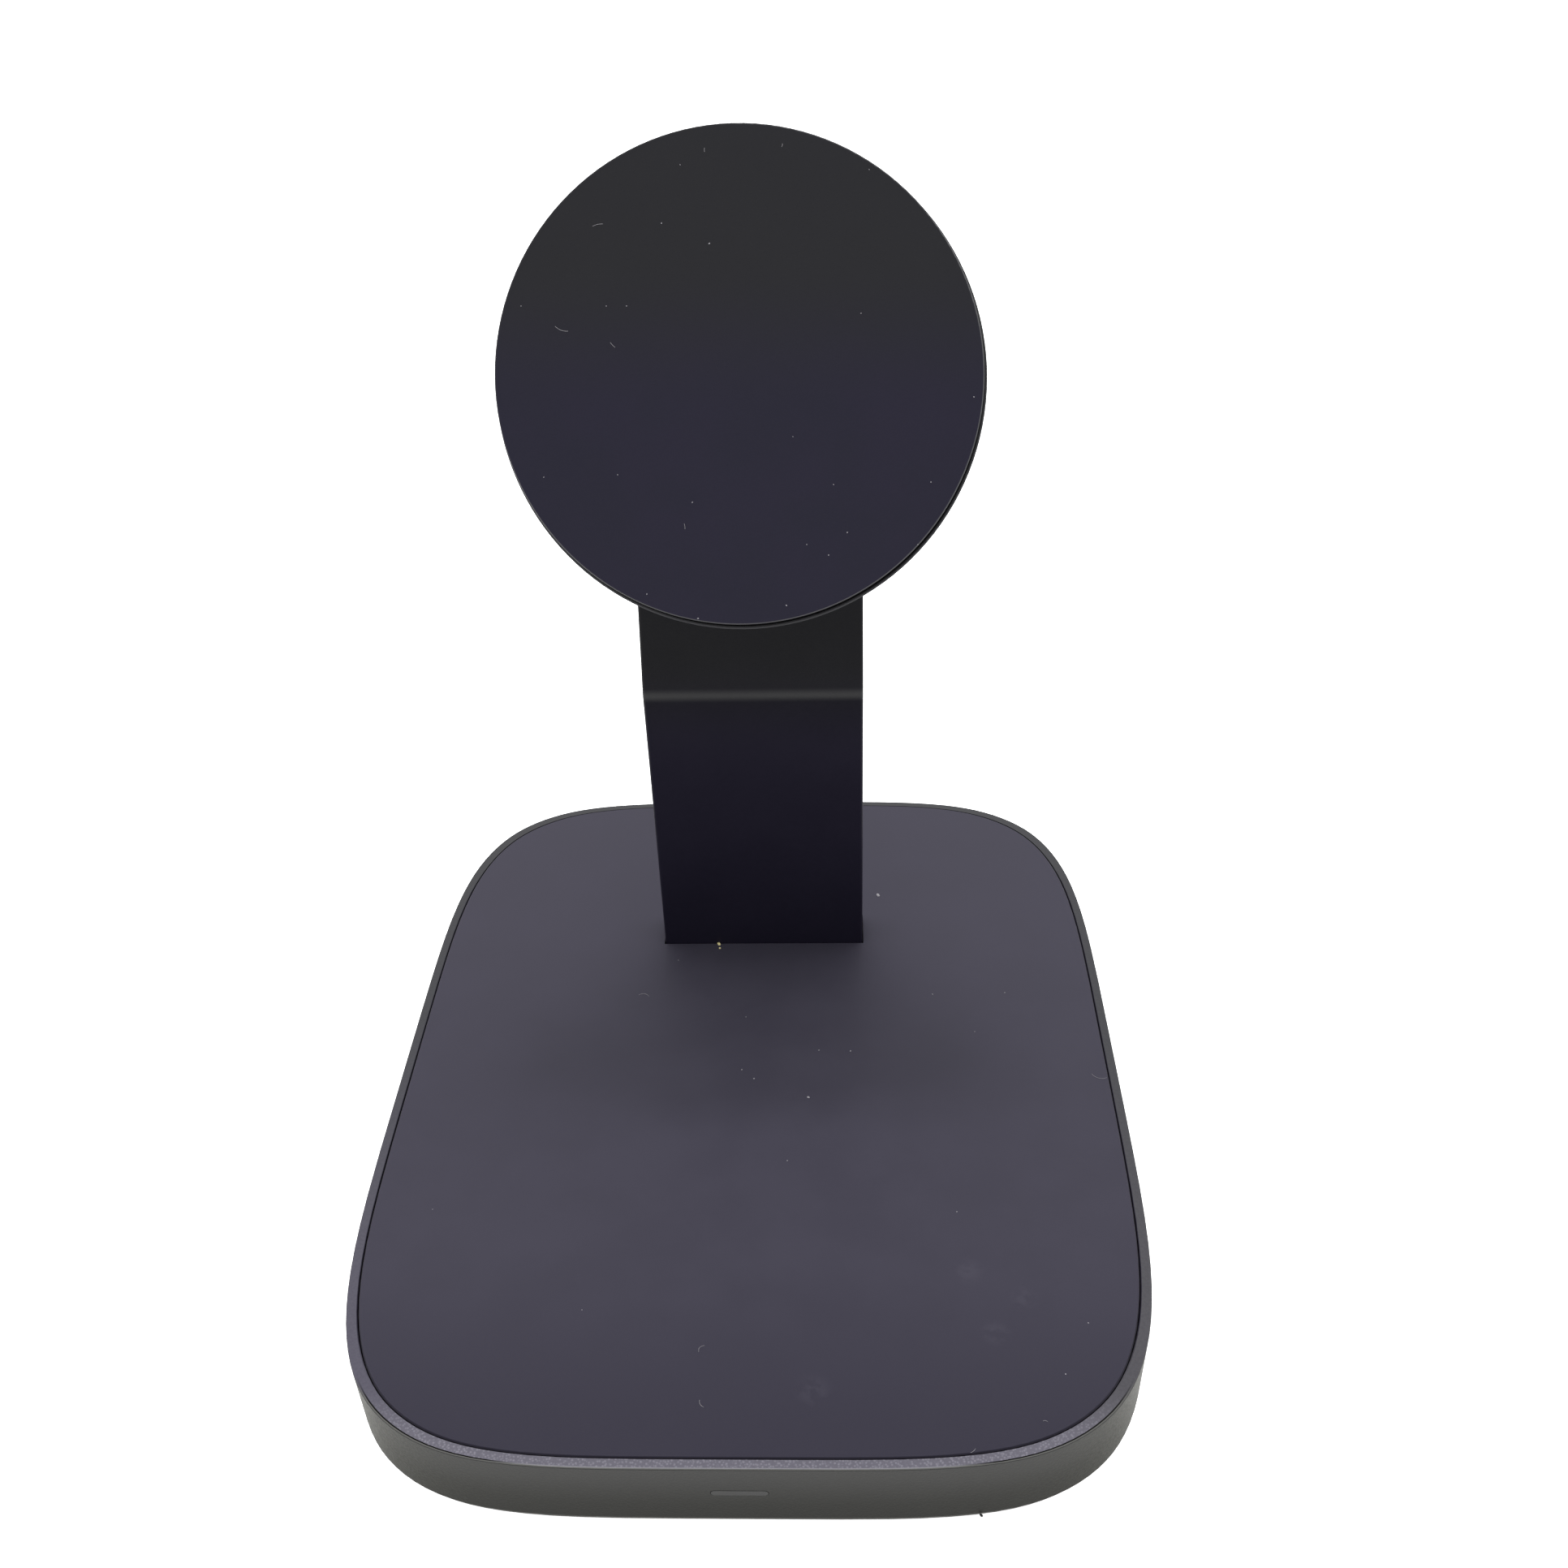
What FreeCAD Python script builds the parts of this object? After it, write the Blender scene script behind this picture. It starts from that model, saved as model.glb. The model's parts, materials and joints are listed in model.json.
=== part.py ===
"""Two in one wireless charging stand, as a parametric document in millimetres.

A weighted base with a soft charging pad carries a bent flat arm. A round magnetic charging head
tilts on a friction hinge at the top of the arm. X runs to the right, Y to the back and Z up, and
the origin is at the bottom centre of the base.
"""
import FreeCAD, Part
import math
import os
import re
import Sketcher
from FreeCAD import Placement, Rotation, Vector

SIZES = {
    # Base shell, seen from above as a superellipse
    "base_width": 95.2,
    "base_depth": 121.3,
    "corner_power": 4.7,
    "foot_height": 1.0,
    "wall_height": 10.05,
    "wall_draft": 0.15,
    "wall_thickness": 2.0,
    "bottom_bevel": 0.8,
    "bottom_tuck": 0.35,
    "bottom_lift": 0.4,
    "bottom_under": 0.6,
    "rim_bevel": 0.06,
    "rim_fall": 0.08,
    "rim_width": 1.2,
    # Layers of the top and the bottom
    "skin_thickness": 0.92,
    "skin_rise": 0.12,
    "skin_gap": 0.12,
    "skin_bevel": 0.15,
    "deck_thickness": 1.5,
    "deck_gap": 0.1,
    "cover_thickness": 2.0,
    "cover_gap": 0.15,
    "foot_inset": 5.0,
    "foot_recess": 0.6,
    "foot_gap": 0.15,
    # Screws of the bottom cover
    "cover_screw_x": 33.0,
    "cover_screw_inset": 15.55,
    "cover_screw_radius": 1.1,
    "cover_screw_head": 2.2,
    "cover_screw_head_height": 0.8,
    "cover_screw_bite": 4.5,
    "boss_radius": 2.8,
    "screw_play": 0.05,
    # Ballast plate
    "ballast_width": 76.0,
    "ballast_inset": 19.55,
    "ballast_gap": 2.0,
    "ballast_thickness": 2.5,
    # Main board and its socket
    "board_width": 56.0,
    "board_depth": 21.0,
    "board_rear_gap": 3.55,
    "board_thickness": 1.0,
    "board_lift": 1.0,
    "board_rail": 6.0,
    "board_screw_inset": 3.5,
    "board_screw_radius": 0.8,
    "board_screw_head": 1.7,
    "board_screw_head_height": 1.0,
    "chip_side": 6.0,
    "chip_height": 0.9,
    "inductor_radius": 3.2,
    "inductor_height": 2.6,
    "socket_width": 8.94,
    "socket_height": 3.26,
    "socket_length": 7.4,
    "socket_wall": 0.3,
    "socket_back": 1.0,
    "socket_gap": 0.18,
    "tongue_plate_width": 6.7,
    "tongue_plate_height": 0.7,
    "tongue_block": 1.2,
    "tongue_setback": 0.8,
    # Status light at the front
    "light_width": 6.1,
    "light_height": 0.8,
    "light_rise": 5.83,
    "light_gap": 0.06,
    "light_recess": 0.05,
    "light_flange": 0.8,
    "light_lip": 0.7,
    "led_width": 3.0,
    "led_height": 1.4,
    "led_depth": 1.4,
    "led_board_width": 14.0,
    "led_board_depth": 7.0,
    "led_board_thickness": 0.8,
    # Charging coil under the pad
    "pad_inset": 42.55,
    "coil_radius": 20.0,
    "coil_hole": 9.0,
    "coil_thickness": 1.2,
    "coil_play": 0.1,
    "ferrite_thickness": 0.8,
    "ferrite_margin": 1.0,
    "holder_gap": 0.2,
    "holder_wall": 1.6,
    # Arm, a bent flat channel with a cover at its back
    "arm_width": 28.8,
    "arm_thickness": 6.0,
    "arm_setback": 36.2,
    "arm_bend_height": 43.9,
    "arm_bend_radius": 3.5,
    "arm_lean_low": 3.35,
    "arm_lean_high": 11.95,
    "arm_reach": 38.45,
    "arm_edge": 0.4,
    "arm_wall": 1.6,
    "arm_side": 2.0,
    "arm_cover_thickness": 1.4,
    "arm_gap": 0.15,
    "arm_post_width": 15.0,
    "arm_post_height": 12.0,
    "arm_screw_x": 5.0,
    "arm_screw_radius": 1.25,
    "arm_screw_head": 2.4,
    "arm_screw_head_height": 1.3,
    "arm_screw_bite": 9.0,
    # Friction hinge at the top of the arm
    "knuckle_radius": 4.5,
    "tongue_radius": 4.2,
    "shoulder_width": 8.3,
    "tongue_play": 0.2,
    "slot_depth": 4.7,
    "ear_wall": 2.0,
    "ear_bore": 3.4,
    "pin_radius": 2.0,
    "pin_play": 0.05,
    "pin_end": 3.0,
    "washer_radius": 3.1,
    "washer_thickness": 0.6,
    "nut_radius": 3.2,
    "nut_height": 1.6,
    "bush_radius": 2.5,
    "bush_bore": 1.4,
    "bush_flange": 0.6,
    "bush_flange_radius": 3.2,
    "bush_end": 1.6,
    "cap_thickness": 1.1,
    "cap_gap": 0.05,
    # Leads
    "cable_radius": 1.1,
    "cable_bend": 1.8,
    "cable_play": 0.3,
    "cable_board_inset": 6.0,
    "cable_joint_gap": 0.1,
    "chamber_end": 2.2,
    "lead_radius": 0.6,
    "lead_bend": 1.5,
    "lead_x": 26.0,
    "lead_board_inset": 4.0,
    # Charging head, measured along its own axis from the hinge
    "head_tilt": 27.0,
    "head_reach": 14.95,
    "head_radius": 28.0,
    "head_thickness": 8.0,
    "face_thickness": 1.2,
    "face_edge": 0.2,
    "face_ring": 1.4,
    "cup_gap": 0.3,
    "cup_wall": 0.35,
    "cup_bevel": 0.1,
    "cup_setback": 3.7,
    "cup_depth": 1.3,
    "cup_slot": 0.5,
    "cup_step": 0.4,
    "housing_floor": 1.6,
    "housing_back_radius": 23.0,
    "housing_back_round": 5.0,
    "housing_ledge": 4.0,
    "flange_radius": 11.0,
    "flange_thickness": 1.8,
    "neck_half": 3.2,
    "bracket_screw_ring": 7.5,
    "bracket_screw_radius": 1.0,
    "bracket_screw_head": 1.9,
    "bracket_screw_head_height": 1.2,
    "carrier_thickness": 0.8,
    "carrier_gap": 0.15,
    "carrier_rib": 0.5,
    "magnet_margin": 0.3,
    "magnet_width": 3.8,
    "magnet_split_deg": 1.0,
    "shunt_thickness": 0.5,
    "head_coil_gap": 0.3,
    "head_coil_hole": 10.0,
    "head_board_radius": 18.0,
    "head_board_thickness": 0.8,
    "head_chip_side": 5.0,
    "head_chip_y": 12.5,
    # How far a cutting tool runs past the face that it opens
    "cut_past": 2.0,
}

MAGNET_COUNT = 16
BRACKET_SCREW_ANGLES = (45, 135, 225, 315)
OUTLINE_STEPS = 12
# How close an edge lies to the place by which it is picked
NEAR = 0.02

# Places that follow from the sizes
PLACES = {
    "rim_top": "foot_height + wall_height",
    "rim_edge": "rim_top - rim_fall",
    "rim_peak": "rim_top + rim_fall * wall_thickness / (rim_width - rim_bevel)",
    "skin_top": "rim_top + skin_rise",
    "deck_top": "skin_top - skin_thickness",
    "deck_low": "deck_top - deck_thickness",
    "cover_top": "foot_height + cover_thickness",
    "recess_top": "foot_height + foot_recess",
    "ballast_top": "cover_top + ballast_thickness",
    "cover_screw_y": "base_depth / 2 - cover_screw_inset",
    "cover_screw_seat": "recess_top + cover_screw_head_height",
    "cover_screw_tip": "cover_top + cover_screw_bite",
    "board_low": "cover_top + board_lift",
    "board_top": "board_low + board_thickness",
    "board_back": "base_depth / 2 - board_rear_gap",
    "board_front": "board_back - board_depth",
    "ballast_front": "ballast_inset - base_depth / 2",
    "ballast_back": "board_front - ballast_gap",
    "cable_board_y": "board_front + cable_board_inset",
    "lead_board_y": "board_front + lead_board_inset",
    "board_screw_x": "board_width / 2 - board_screw_inset",
    "board_screw_y": "board_back - board_screw_inset",
    "chip_front": "board_front + chip_side / 2",
    "socket_mouth": "base_depth / 2 - wall_draft",
    "socket_rear": "socket_mouth - socket_length",
    "socket_z": "board_top + socket_height / 2",
    "light_z": "foot_height + light_rise",
    "light_front": "light_recess - base_depth / 2",
    "light_back": "wall_thickness + light_flange - base_depth / 2",
    "led_low": "light_z - led_height / 2",
    "led_back": "light_back + led_depth",
    "led_board_low": "led_low - led_board_thickness",
    "led_board_back": "light_back + led_board_depth",
    "led_lead_y": "led_back + led_board_depth / 2",
    "pad_y": "pad_inset - base_depth / 2",
    "coil_top": "deck_low - coil_play",
    "coil_low": "coil_top - coil_thickness",
    "ferrite_low": "coil_low - ferrite_thickness",
    "ferrite_radius": "coil_radius + ferrite_margin",
    "holder_inside": "ferrite_radius + holder_gap",
    "holder_radius": "holder_inside + holder_wall",
    "lead_z": "coil_top - coil_thickness / 2",
    "arm_foot_y": "base_depth / 2 - arm_setback",
    "bend_y": "arm_foot_y - arm_bend_height * tan(arm_lean_low)",
    "bend_z": "rim_top + arm_bend_height",
    "bend_share": "1 + cos(arm_lean_low + arm_lean_high)",
    "arm_middle": "arm_thickness / 2",
    "arm_inside": "arm_width - 2 * arm_side",
    "arm_cover_depth": "arm_thickness - arm_cover_thickness",
    "arm_hole_front": "arm_foot_y - arm_gap",
    "arm_hole_back": "arm_foot_y + arm_thickness / cos(arm_lean_low)"
                     " + (skin_top - deck_low) * tan(arm_lean_low) + arm_gap",
    "arm_post_top": "ballast_top + arm_post_height",
    "arm_screw_y": "arm_foot_y + arm_cover_depth / 2 / cos(arm_lean_low)",
    "arm_screw_tip": "ballast_top + arm_screw_bite",
    "tongue_width": "arm_width - 2 * shoulder_width",
    "slot_half": "tongue_width / 2 + tongue_play",
    "slot_floor": "arm_reach - slot_depth",
    "channel_end": "slot_floor - arm_wall",
    "ear_face": "slot_half + ear_wall",
    "hinge_y": "bend_y + arm_middle * cos(arm_lean_high) + arm_reach * sin(arm_lean_high)",
    "hinge_z": "bend_z - arm_middle * sin(arm_lean_high) + arm_reach * cos(arm_lean_high)",
    "washer_face": "ear_face + pin_play",
    "nut_face": "washer_face + 2 * washer_thickness",
    "pin_tip": "nut_face + nut_height + cap_gap",
    "cable_x": "ear_face + bush_flange + cable_bend",
    "cable_z": "ballast_top + cable_radius + cable_play",
    "cable_end": "bush_end + bush_flange",
    "head_lead_x": "bush_end - chamber_end",
    "face_back": "head_reach - face_thickness",
    "cup_rim": "head_reach - cup_setback",
    "housing_wide": "cup_rim - cup_depth",
    "housing_rear": "head_reach - head_thickness",
    "housing_inside": "head_radius + cup_gap",
    "housing_radius": "housing_inside + cup_wall",
    "floor_top": "housing_rear + housing_floor",
    "flange_low": "housing_rear - flange_thickness",
    "face_ring_inside": "head_radius - face_ring",
    "head_coil_top": "face_back - coil_play",
    "head_coil_low": "head_coil_top - coil_thickness",
    "carrier_top": "head_coil_low - ferrite_thickness",
    "carrier_low": "carrier_top - carrier_thickness",
    "slot_bottom": "carrier_low - cup_slot",
    "ledge_outside": "head_radius - cup_step",
    "ledge_inside": "head_radius - housing_ledge",
    "carrier_radius": "face_ring_inside - carrier_gap",
    "magnet_outside": "carrier_radius - magnet_margin",
    "magnet_inside": "magnet_outside - magnet_width",
    "rib_outside": "magnet_inside - carrier_gap",
    "rib_inside": "rib_outside - carrier_rib",
    "head_coil_radius": "rib_inside - head_coil_gap",
    "shunt_top": "carrier_top + shunt_thickness",
    "head_board_low": "carrier_low - head_board_thickness",
    "bracket_screw_tip": "flange_low + screw_play",
}

doc = FreeCAD.newDocument("charging_stand")
sheet = doc.addObject("Spreadsheet::Sheet", "Sizes")
for row, (alias, number) in enumerate(SIZES.items(), start=1):
    sheet.set(f"A{row}", alias)
    sheet.set(f"B{row}", str(number))
    sheet.setAlias(f"B{row}", alias)
doc.recompute()


def tied(text):
    """Write a formula of sizes and places out as an expression on the sheet's cells."""
    def swap(match):
        word = match.group()
        if word in PLACES:
            return f"({tied(PLACES[word])})"
        return f"Sizes.{word}" if word in SIZES else word
    return re.sub(r"[a-z_]+", swap, text)


def value(text):
    return float(sheet.evalExpression(tied(text)))


def bind(thing, **formulas):
    for name, text in formulas.items():
        thing.setExpression(name, tied(text))
    return thing


def place(thing, x="0", y="0", z="0", rotation=None):
    """Put a piece at a place that stays tied to the sheet."""
    base = Vector(value(x), value(y), value(z))
    thing.Placement = Placement(base, rotation or Rotation())
    for axis, text in (("x", x), ("y", y), ("z", z)):
        thing.setExpression(f"Placement.Base.{axis}", tied(text))
    return thing


def place_turned(thing, turn, **place_texts):
    """As place, with a turn about X that is tied to the sheet too."""
    place(thing, rotation=Rotation(Vector(1, 0, 0), value(turn)), **place_texts)
    thing.setExpression("Placement.Rotation.Angle", tied(turn))
    return thing


def on_head(thing):
    """Carry a piece from the head's own frame, with Z out of its face, to the hinge."""
    return place_turned(thing, "90 - head_tilt", y="hinge_y", z="hinge_z")


def add(kind, label):
    thing = doc.addObject(kind, label)
    thing.Label = label
    return thing


def block(label, x, y, z):
    """Box between two limits on each axis."""
    thing = add("Part::Box", label)
    bind(thing, Length=f"{x[1]} - ({x[0]})", Width=f"{y[1]} - ({y[0]})", Height=f"{z[1]} - ({z[0]})")
    return place(thing, x[0], y[0], z[0])


AXIS_TURNS = {
    "x": Rotation(Vector(0, 1, 0), 90),
    "y": Rotation(Vector(1, 0, 0), -90),
    "z": Rotation(),
}


def rod(label, axis, radius, span, **across):
    """Cylinder along an axis between two limits."""
    thing = add("Part::Cylinder", label)
    bind(thing, Radius=radius, Height=f"{span[1]} - ({span[0]})")
    return place(thing, rotation=AXIS_TURNS[axis], **{axis: span[0]}, **across)


def fuse(label, parts):
    thing = add("Part::MultiFuse", label)
    thing.Shapes = parts
    thing.Refine = True
    return thing


def cut(label, base, tools):
    thing = add("Part::Cut", label)
    thing.Base = base
    thing.Tool = tools[0] if len(tools) == 1 else fuse(f"{label}_tools", tools)
    thing.Refine = True
    return thing


def group(label, parts):
    """Like pieces that share one node."""
    thing = add("Part::Compound", label)
    thing.Links = parts
    return thing


def pill(label, width, height, span, z):
    """Bar along Y with a flat section and half round ends."""
    flat = f"({width} - ({height})) / 2"
    half = f"({height}) / 2"
    middle = block(f"{label}_middle", (f"-{flat}", flat), span, (f"{z} - {half}", f"{z} + {half}"))
    ends = [rod(f"{label}_end_{side}", "y", half, span, x=f"{sign}{flat}", z=z)
            for side, sign in (("left", "-"), ("right", ""))]
    return fuse(label, [middle] + ends)


def outline(label, inset, z):
    """Superellipse of the base, drawn in by an inset, as four smooth curves."""
    half_x = value(f"base_width / 2 - ({inset})")
    half_y = value(f"base_depth / 2 - ({inset})")
    power = value("corner_power")
    tangents = (Vector(1, 0, 0), Vector(0, 1, 0), Vector(-1, 0, 0), Vector(0, -1, 0))
    edges = []
    for quarter in range(4):
        points = []
        for step in range(OUTLINE_STEPS + 1):
            angle = math.pi / 2 * (quarter + step / OUTLINE_STEPS)
            across, along = math.cos(angle), math.sin(angle)
            reach = (abs(across / half_x) ** power + abs(along / half_y) ** power) ** (-1 / power)
            points.append(Vector(reach * across, reach * along, 0))
        curve = Part.BSplineCurve()
        first, last = tangents[(quarter + 1) % 4], tangents[(quarter + 2) % 4]
        curve.interpolate(Points=points, InitialTangent=first, FinalTangent=last)
        edges.append(curve.toShape())
    thing = add("Part::Feature", label)
    thing.Shape = Part.Wire(edges)
    return place(thing, z=z)


def slab(label, inset, z):
    """Plate with the base's outline between two heights."""
    thing = add("Part::Extrusion", label)
    thing.Base = outline(f"{label}_outline", inset, "0")
    thing.DirMode = "Custom"
    thing.Dir = Vector(0, 0, 1)
    thing.Solid = True
    bind(thing, LengthFwd=f"{z[1]} - ({z[0]})")
    return place(thing, z=z[0])


def stack(label, levels):
    """Solid through outlines of the base, each an inset at a height."""
    thing = add("Part::Loft", label)
    thing.Sections = [outline(f"{label}_level_{index}", *level) for index, level in enumerate(levels)]
    thing.Solid = True
    thing.Ruled = True
    return thing


def profile(body, role, points):
    """Closed sketch of straight lines, each corner tied to the sheet."""
    sketch = body.newObject("Sketcher::SketchObject", f"{body.Name}_sketch")
    plane = next(item for item in body.Origin.OriginFeatures if item.Role == role)
    sketch.AttachmentSupport = [(plane, "")]
    sketch.MapMode = "FlatFace"
    corners = [Vector(value(u), value(v), 0) for u, v in points]
    count = len(corners)
    for index in range(count):
        sketch.addGeometry(Part.LineSegment(corners[index], corners[(index + 1) % count]))
    for index in range(count):
        sketch.addConstraint(Sketcher.Constraint("Coincident", index, 2, (index + 1) % count, 1))
    for index, (texts, corner) in enumerate(zip(points, corners)):
        for kind, text, start in zip(("DistanceX", "DistanceY"), texts, (corner.x, corner.y)):
            number = sketch.addConstraint(Sketcher.Constraint(kind, -1, 1, index, 1, start))
            sketch.setExpression(f"Constraints[{number}]", tied(text))
    return sketch


def turned(label, points):
    """Body turned about Z from a profile of radius and height."""
    body = add("PartDesign::Body", label)
    sketch = profile(body, "XZ_Plane", points)
    turn = body.newObject("PartDesign::Revolution", f"{label}_turn")
    turn.Profile = sketch
    turn.ReferenceAxis = (sketch, ["V_Axis"])
    turn.Angle = 360
    doc.recompute()
    return body


def washer_shape(inside, outside, low, high):
    return [(inside, low), (outside, low), (outside, high), (inside, high)]


def padded(label, points, width):
    """Body padded to both sides of the middle plane from a profile of Y and Z."""
    body = add("PartDesign::Body", label)
    pad = body.newObject("PartDesign::Pad", f"{label}_pad")
    pad.Profile = profile(body, "YZ_Plane", points)
    pad.SideType = "Symmetric"
    bind(pad, Length=width)
    doc.recompute()
    return body


def rounded(body, label, radius, wanted):
    """Round the edges of a body's last feature that a test picks."""
    base = body.Tip
    names = [f"Edge{number}" for number, edge in enumerate(base.Shape.Edges, start=1) if wanted(edge)]
    fillet = body.newObject("PartDesign::Fillet", label)
    fillet.Base = (base, names)
    bind(fillet, Radius=radius)
    doc.recompute()
    return body


def rounded_path(points, bends):
    """Wire of straight runs, with a tangent arc at each inner point."""
    edges = []
    start = points[0]
    for index, bend in enumerate(bends, start=1):
        corner = points[index]
        back = (points[index - 1] - corner).normalize()
        ahead = (points[index + 1] - corner).normalize()
        half_turn = (math.pi - back.getAngle(ahead)) / 2
        run = bend * math.tan(half_turn)
        inward = (back + ahead).normalize()
        middle = corner + inward * (bend / math.cos(half_turn) - bend)
        edges.append(Part.LineSegment(start, corner + back * run).toShape())
        edges.append(Part.Arc(corner + back * run, middle, corner + ahead * run).toShape())
        start = corner + ahead * run
    edges.append(Part.LineSegment(start, points[-1]).toShape())
    return Part.Wire(edges)


def lead(label, radius, points, bends):
    """Round lead swept along its route."""
    corners = [Vector(*(value(text) for text in point)) for point in points]
    route = add("Part::Feature", f"{label}_route")
    route.Shape = rounded_path(corners, [value(bend) for bend in bends])
    ring = bind(add("Part::Circle", f"{label}_ring"), Radius=radius)
    ring.Placement = Placement(corners[0], Rotation(Vector(0, 0, 1), corners[1] - corners[0]))
    thing = add("Part::Sweep", label)
    thing.Sections = [ring]
    thing.Spine = (route, [f"Edge{number + 1}" for number in range(len(route.Shape.Edges))])
    thing.Solid = True
    thing.Frenet = False
    doc.recompute()
    expected = math.pi * value(radius) ** 2 * route.Shape.Length
    assert abs(thing.Shape.Volume / expected - 1) < 0.01, label
    return thing


def corner_places(x, y):
    """The four corners of a rectangle about the origin, named by side."""
    return [(f"{end}_{side}", f"{sign_x}{x}", f"{sign_y}{y}")
            for end, sign_y in (("front", "-"), ("back", ""))
            for side, sign_x in (("left", "-"), ("right", ""))]


def screw(label, radius, head, head_span, shank_span, **across):
    """Screw along Z, as a head and a plain shank."""
    return fuse(label, [rod(f"{label}_head", "z", head, head_span, **across),
                        rod(f"{label}_shank", "z", radius, shank_span, **across)])


# Points of the arm, by depth behind its front face

def arm_bend(depth):
    y = f"bend_y + ({depth}) * (cos(arm_lean_low) + cos(arm_lean_high)) / bend_share"
    z = f"bend_z + ({depth}) * (sin(arm_lean_low) - sin(arm_lean_high)) / bend_share"
    return y, z


def arm_low(depth, z):
    bend_y, bend_z = arm_bend(depth)
    return f"{bend_y} + ({bend_z} - ({z})) * tan(arm_lean_low)", z


def arm_high(depth, along):
    return (f"bend_y + ({depth}) * cos(arm_lean_high) + ({along}) * sin(arm_lean_high)",
            f"bend_z - ({depth}) * sin(arm_lean_high) + ({along}) * cos(arm_lean_high)")


def arm_strip(front, back, z, along):
    return [arm_low(front, z), arm_bend(front), arm_high(front, along),
            arm_high(back, along), arm_bend(back), arm_low(back, z)]


def spot(point):
    """A point of the arm on the middle plane, as numbers."""
    return Vector(0, *(value(text) for text in point))


def arm_block(label, x, depth, along):
    """Box in the frame of the arm's upper part."""
    thing = add("Part::Box", label)
    bind(thing, Length=f"{x[1]} - ({x[0]})", Width=f"{depth[1]} - ({depth[0]})",
         Height=f"{along[1]} - ({along[0]})")
    y, z = arm_high(depth[0], along[0])
    return place_turned(thing, "-arm_lean_high", x=x[0], y=y, z=z)


def on_hinge(label, radius, span):
    """Cylinder on the hinge axis."""
    return rod(label, "x", radius, span, y="hinge_y", z="hinge_z")


# Base

def make_base_frame():
    outside = stack("frame_outside", [
        ("wall_draft + bottom_tuck + bottom_under", "foot_height"),
        ("wall_draft + bottom_tuck", "foot_height + bottom_lift"),
        ("wall_draft", "foot_height + bottom_lift + bottom_bevel"),
        ("0", "rim_edge - rim_bevel"),
        ("rim_bevel", "rim_edge"),
        ("rim_width + wall_thickness", "rim_peak"),
    ])
    hollow = slab("frame_hollow", "wall_thickness", ("foot_height - cut_past", "deck_low + cut_past"))
    rebate = slab("frame_rebate", "rim_width", ("deck_low", "rim_top + cut_past"))
    light_span = ("-base_depth / 2 - cut_past", "wall_thickness - base_depth / 2 + cut_past")
    light_hole = pill("frame_light_hole", "light_width + 2 * light_gap",
                      "light_height + 2 * light_gap", light_span, "light_z")
    socket_span = ("base_depth / 2 - wall_thickness - cut_past", "base_depth / 2 + cut_past")
    socket_hole = pill("frame_socket_hole", "socket_width + 2 * socket_gap",
                       "socket_height + 2 * socket_gap", socket_span, "socket_z")
    return cut("base_frame", outside, [hollow, rebate, light_hole, socket_hole])


def arm_opening(label, z):
    half = "(arm_width / 2 + arm_gap)"
    return block(label, (f"-{half}", half), ("arm_hole_front", "arm_hole_back"), z)


def make_top_skin():
    sheet_edge = "rim_width + skin_gap"
    skin = stack("skin_sheet", [
        (sheet_edge, "deck_top"),
        (sheet_edge, "skin_top - skin_bevel"),
        (f"{sheet_edge} + skin_bevel", "skin_top"),
    ])
    opening = arm_opening("skin_opening", ("deck_top - cut_past", "skin_top + cut_past"))
    return cut("top_skin", skin, [opening])


def make_deck_panel():
    panel = slab("deck_plate", "rim_width + deck_gap", ("deck_low", "deck_top"))
    bosses = []
    holes = [arm_opening("deck_opening", ("deck_low - cut_past", "deck_top + cut_past"))]
    for name, x, y in corner_places("cover_screw_x", "cover_screw_y"):
        bosses.append(rod(f"deck_boss_{name}", "z", "boss_radius", ("cover_top", "deck_low + screw_play"),
                          x=x, y=y))
        holes.append(rod(f"deck_hole_{name}", "z", "cover_screw_radius + screw_play",
                         ("cover_top - cut_past", "cover_screw_tip + screw_play"), x=x, y=y))
    return cut("deck_panel", fuse("deck_solid", [panel] + bosses), holes)


def make_bottom_cover():
    plate = slab("cover_plate", "wall_thickness + cover_gap", ("foot_height", "cover_top"))
    recess = slab("cover_recess", "foot_inset", ("foot_height - cut_past", "recess_top"))
    rails = [block(f"cover_rail_{side}", across, ("board_front", "board_back"),
                   ("cover_top - screw_play", "board_low"))
             for side, across in (("left", ("-board_width / 2", "board_rail - board_width / 2")),
                                  ("right", ("board_width / 2 - board_rail", "board_width / 2")))]
    light_rest = block("cover_light_rest", ("-led_board_width / 2", "led_board_width / 2"),
                       ("light_back", "led_board_back"), ("cover_top - screw_play", "led_board_low"))
    holes = [recess]
    for name, x, y in corner_places("cover_screw_x", "cover_screw_y"):
        holes.append(rod(f"cover_hole_{name}", "z", "cover_screw_radius + screw_play",
                         ("foot_height", "cover_top + cut_past"), x=x, y=y))
        holes.append(rod(f"cover_bore_{name}", "z", "cover_screw_head + screw_play",
                         ("foot_height", "cover_screw_seat"), x=x, y=y))
    for side, sign in (("left", "-"), ("right", "")):
        holes.append(rod(f"cover_pilot_{side}", "z", "board_screw_radius + screw_play",
                         ("recess_top + screw_play", "board_low + cut_past"),
                         x=f"{sign}board_screw_x", y="board_screw_y"))
    return cut("bottom_cover", fuse("cover_solid", [plate, light_rest] + rails), holes)


def make_foot_pad():
    return slab("foot_pad", "foot_inset + foot_gap", ("0", "recess_top"))


def make_cover_screws():
    return group("cover_screws", [
        screw(f"cover_screw_{name}", "cover_screw_radius", "cover_screw_head",
              ("recess_top", "cover_screw_seat"), ("recess_top", "cover_screw_tip"), x=x, y=y)
        for name, x, y in corner_places("cover_screw_x", "cover_screw_y")])


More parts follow.
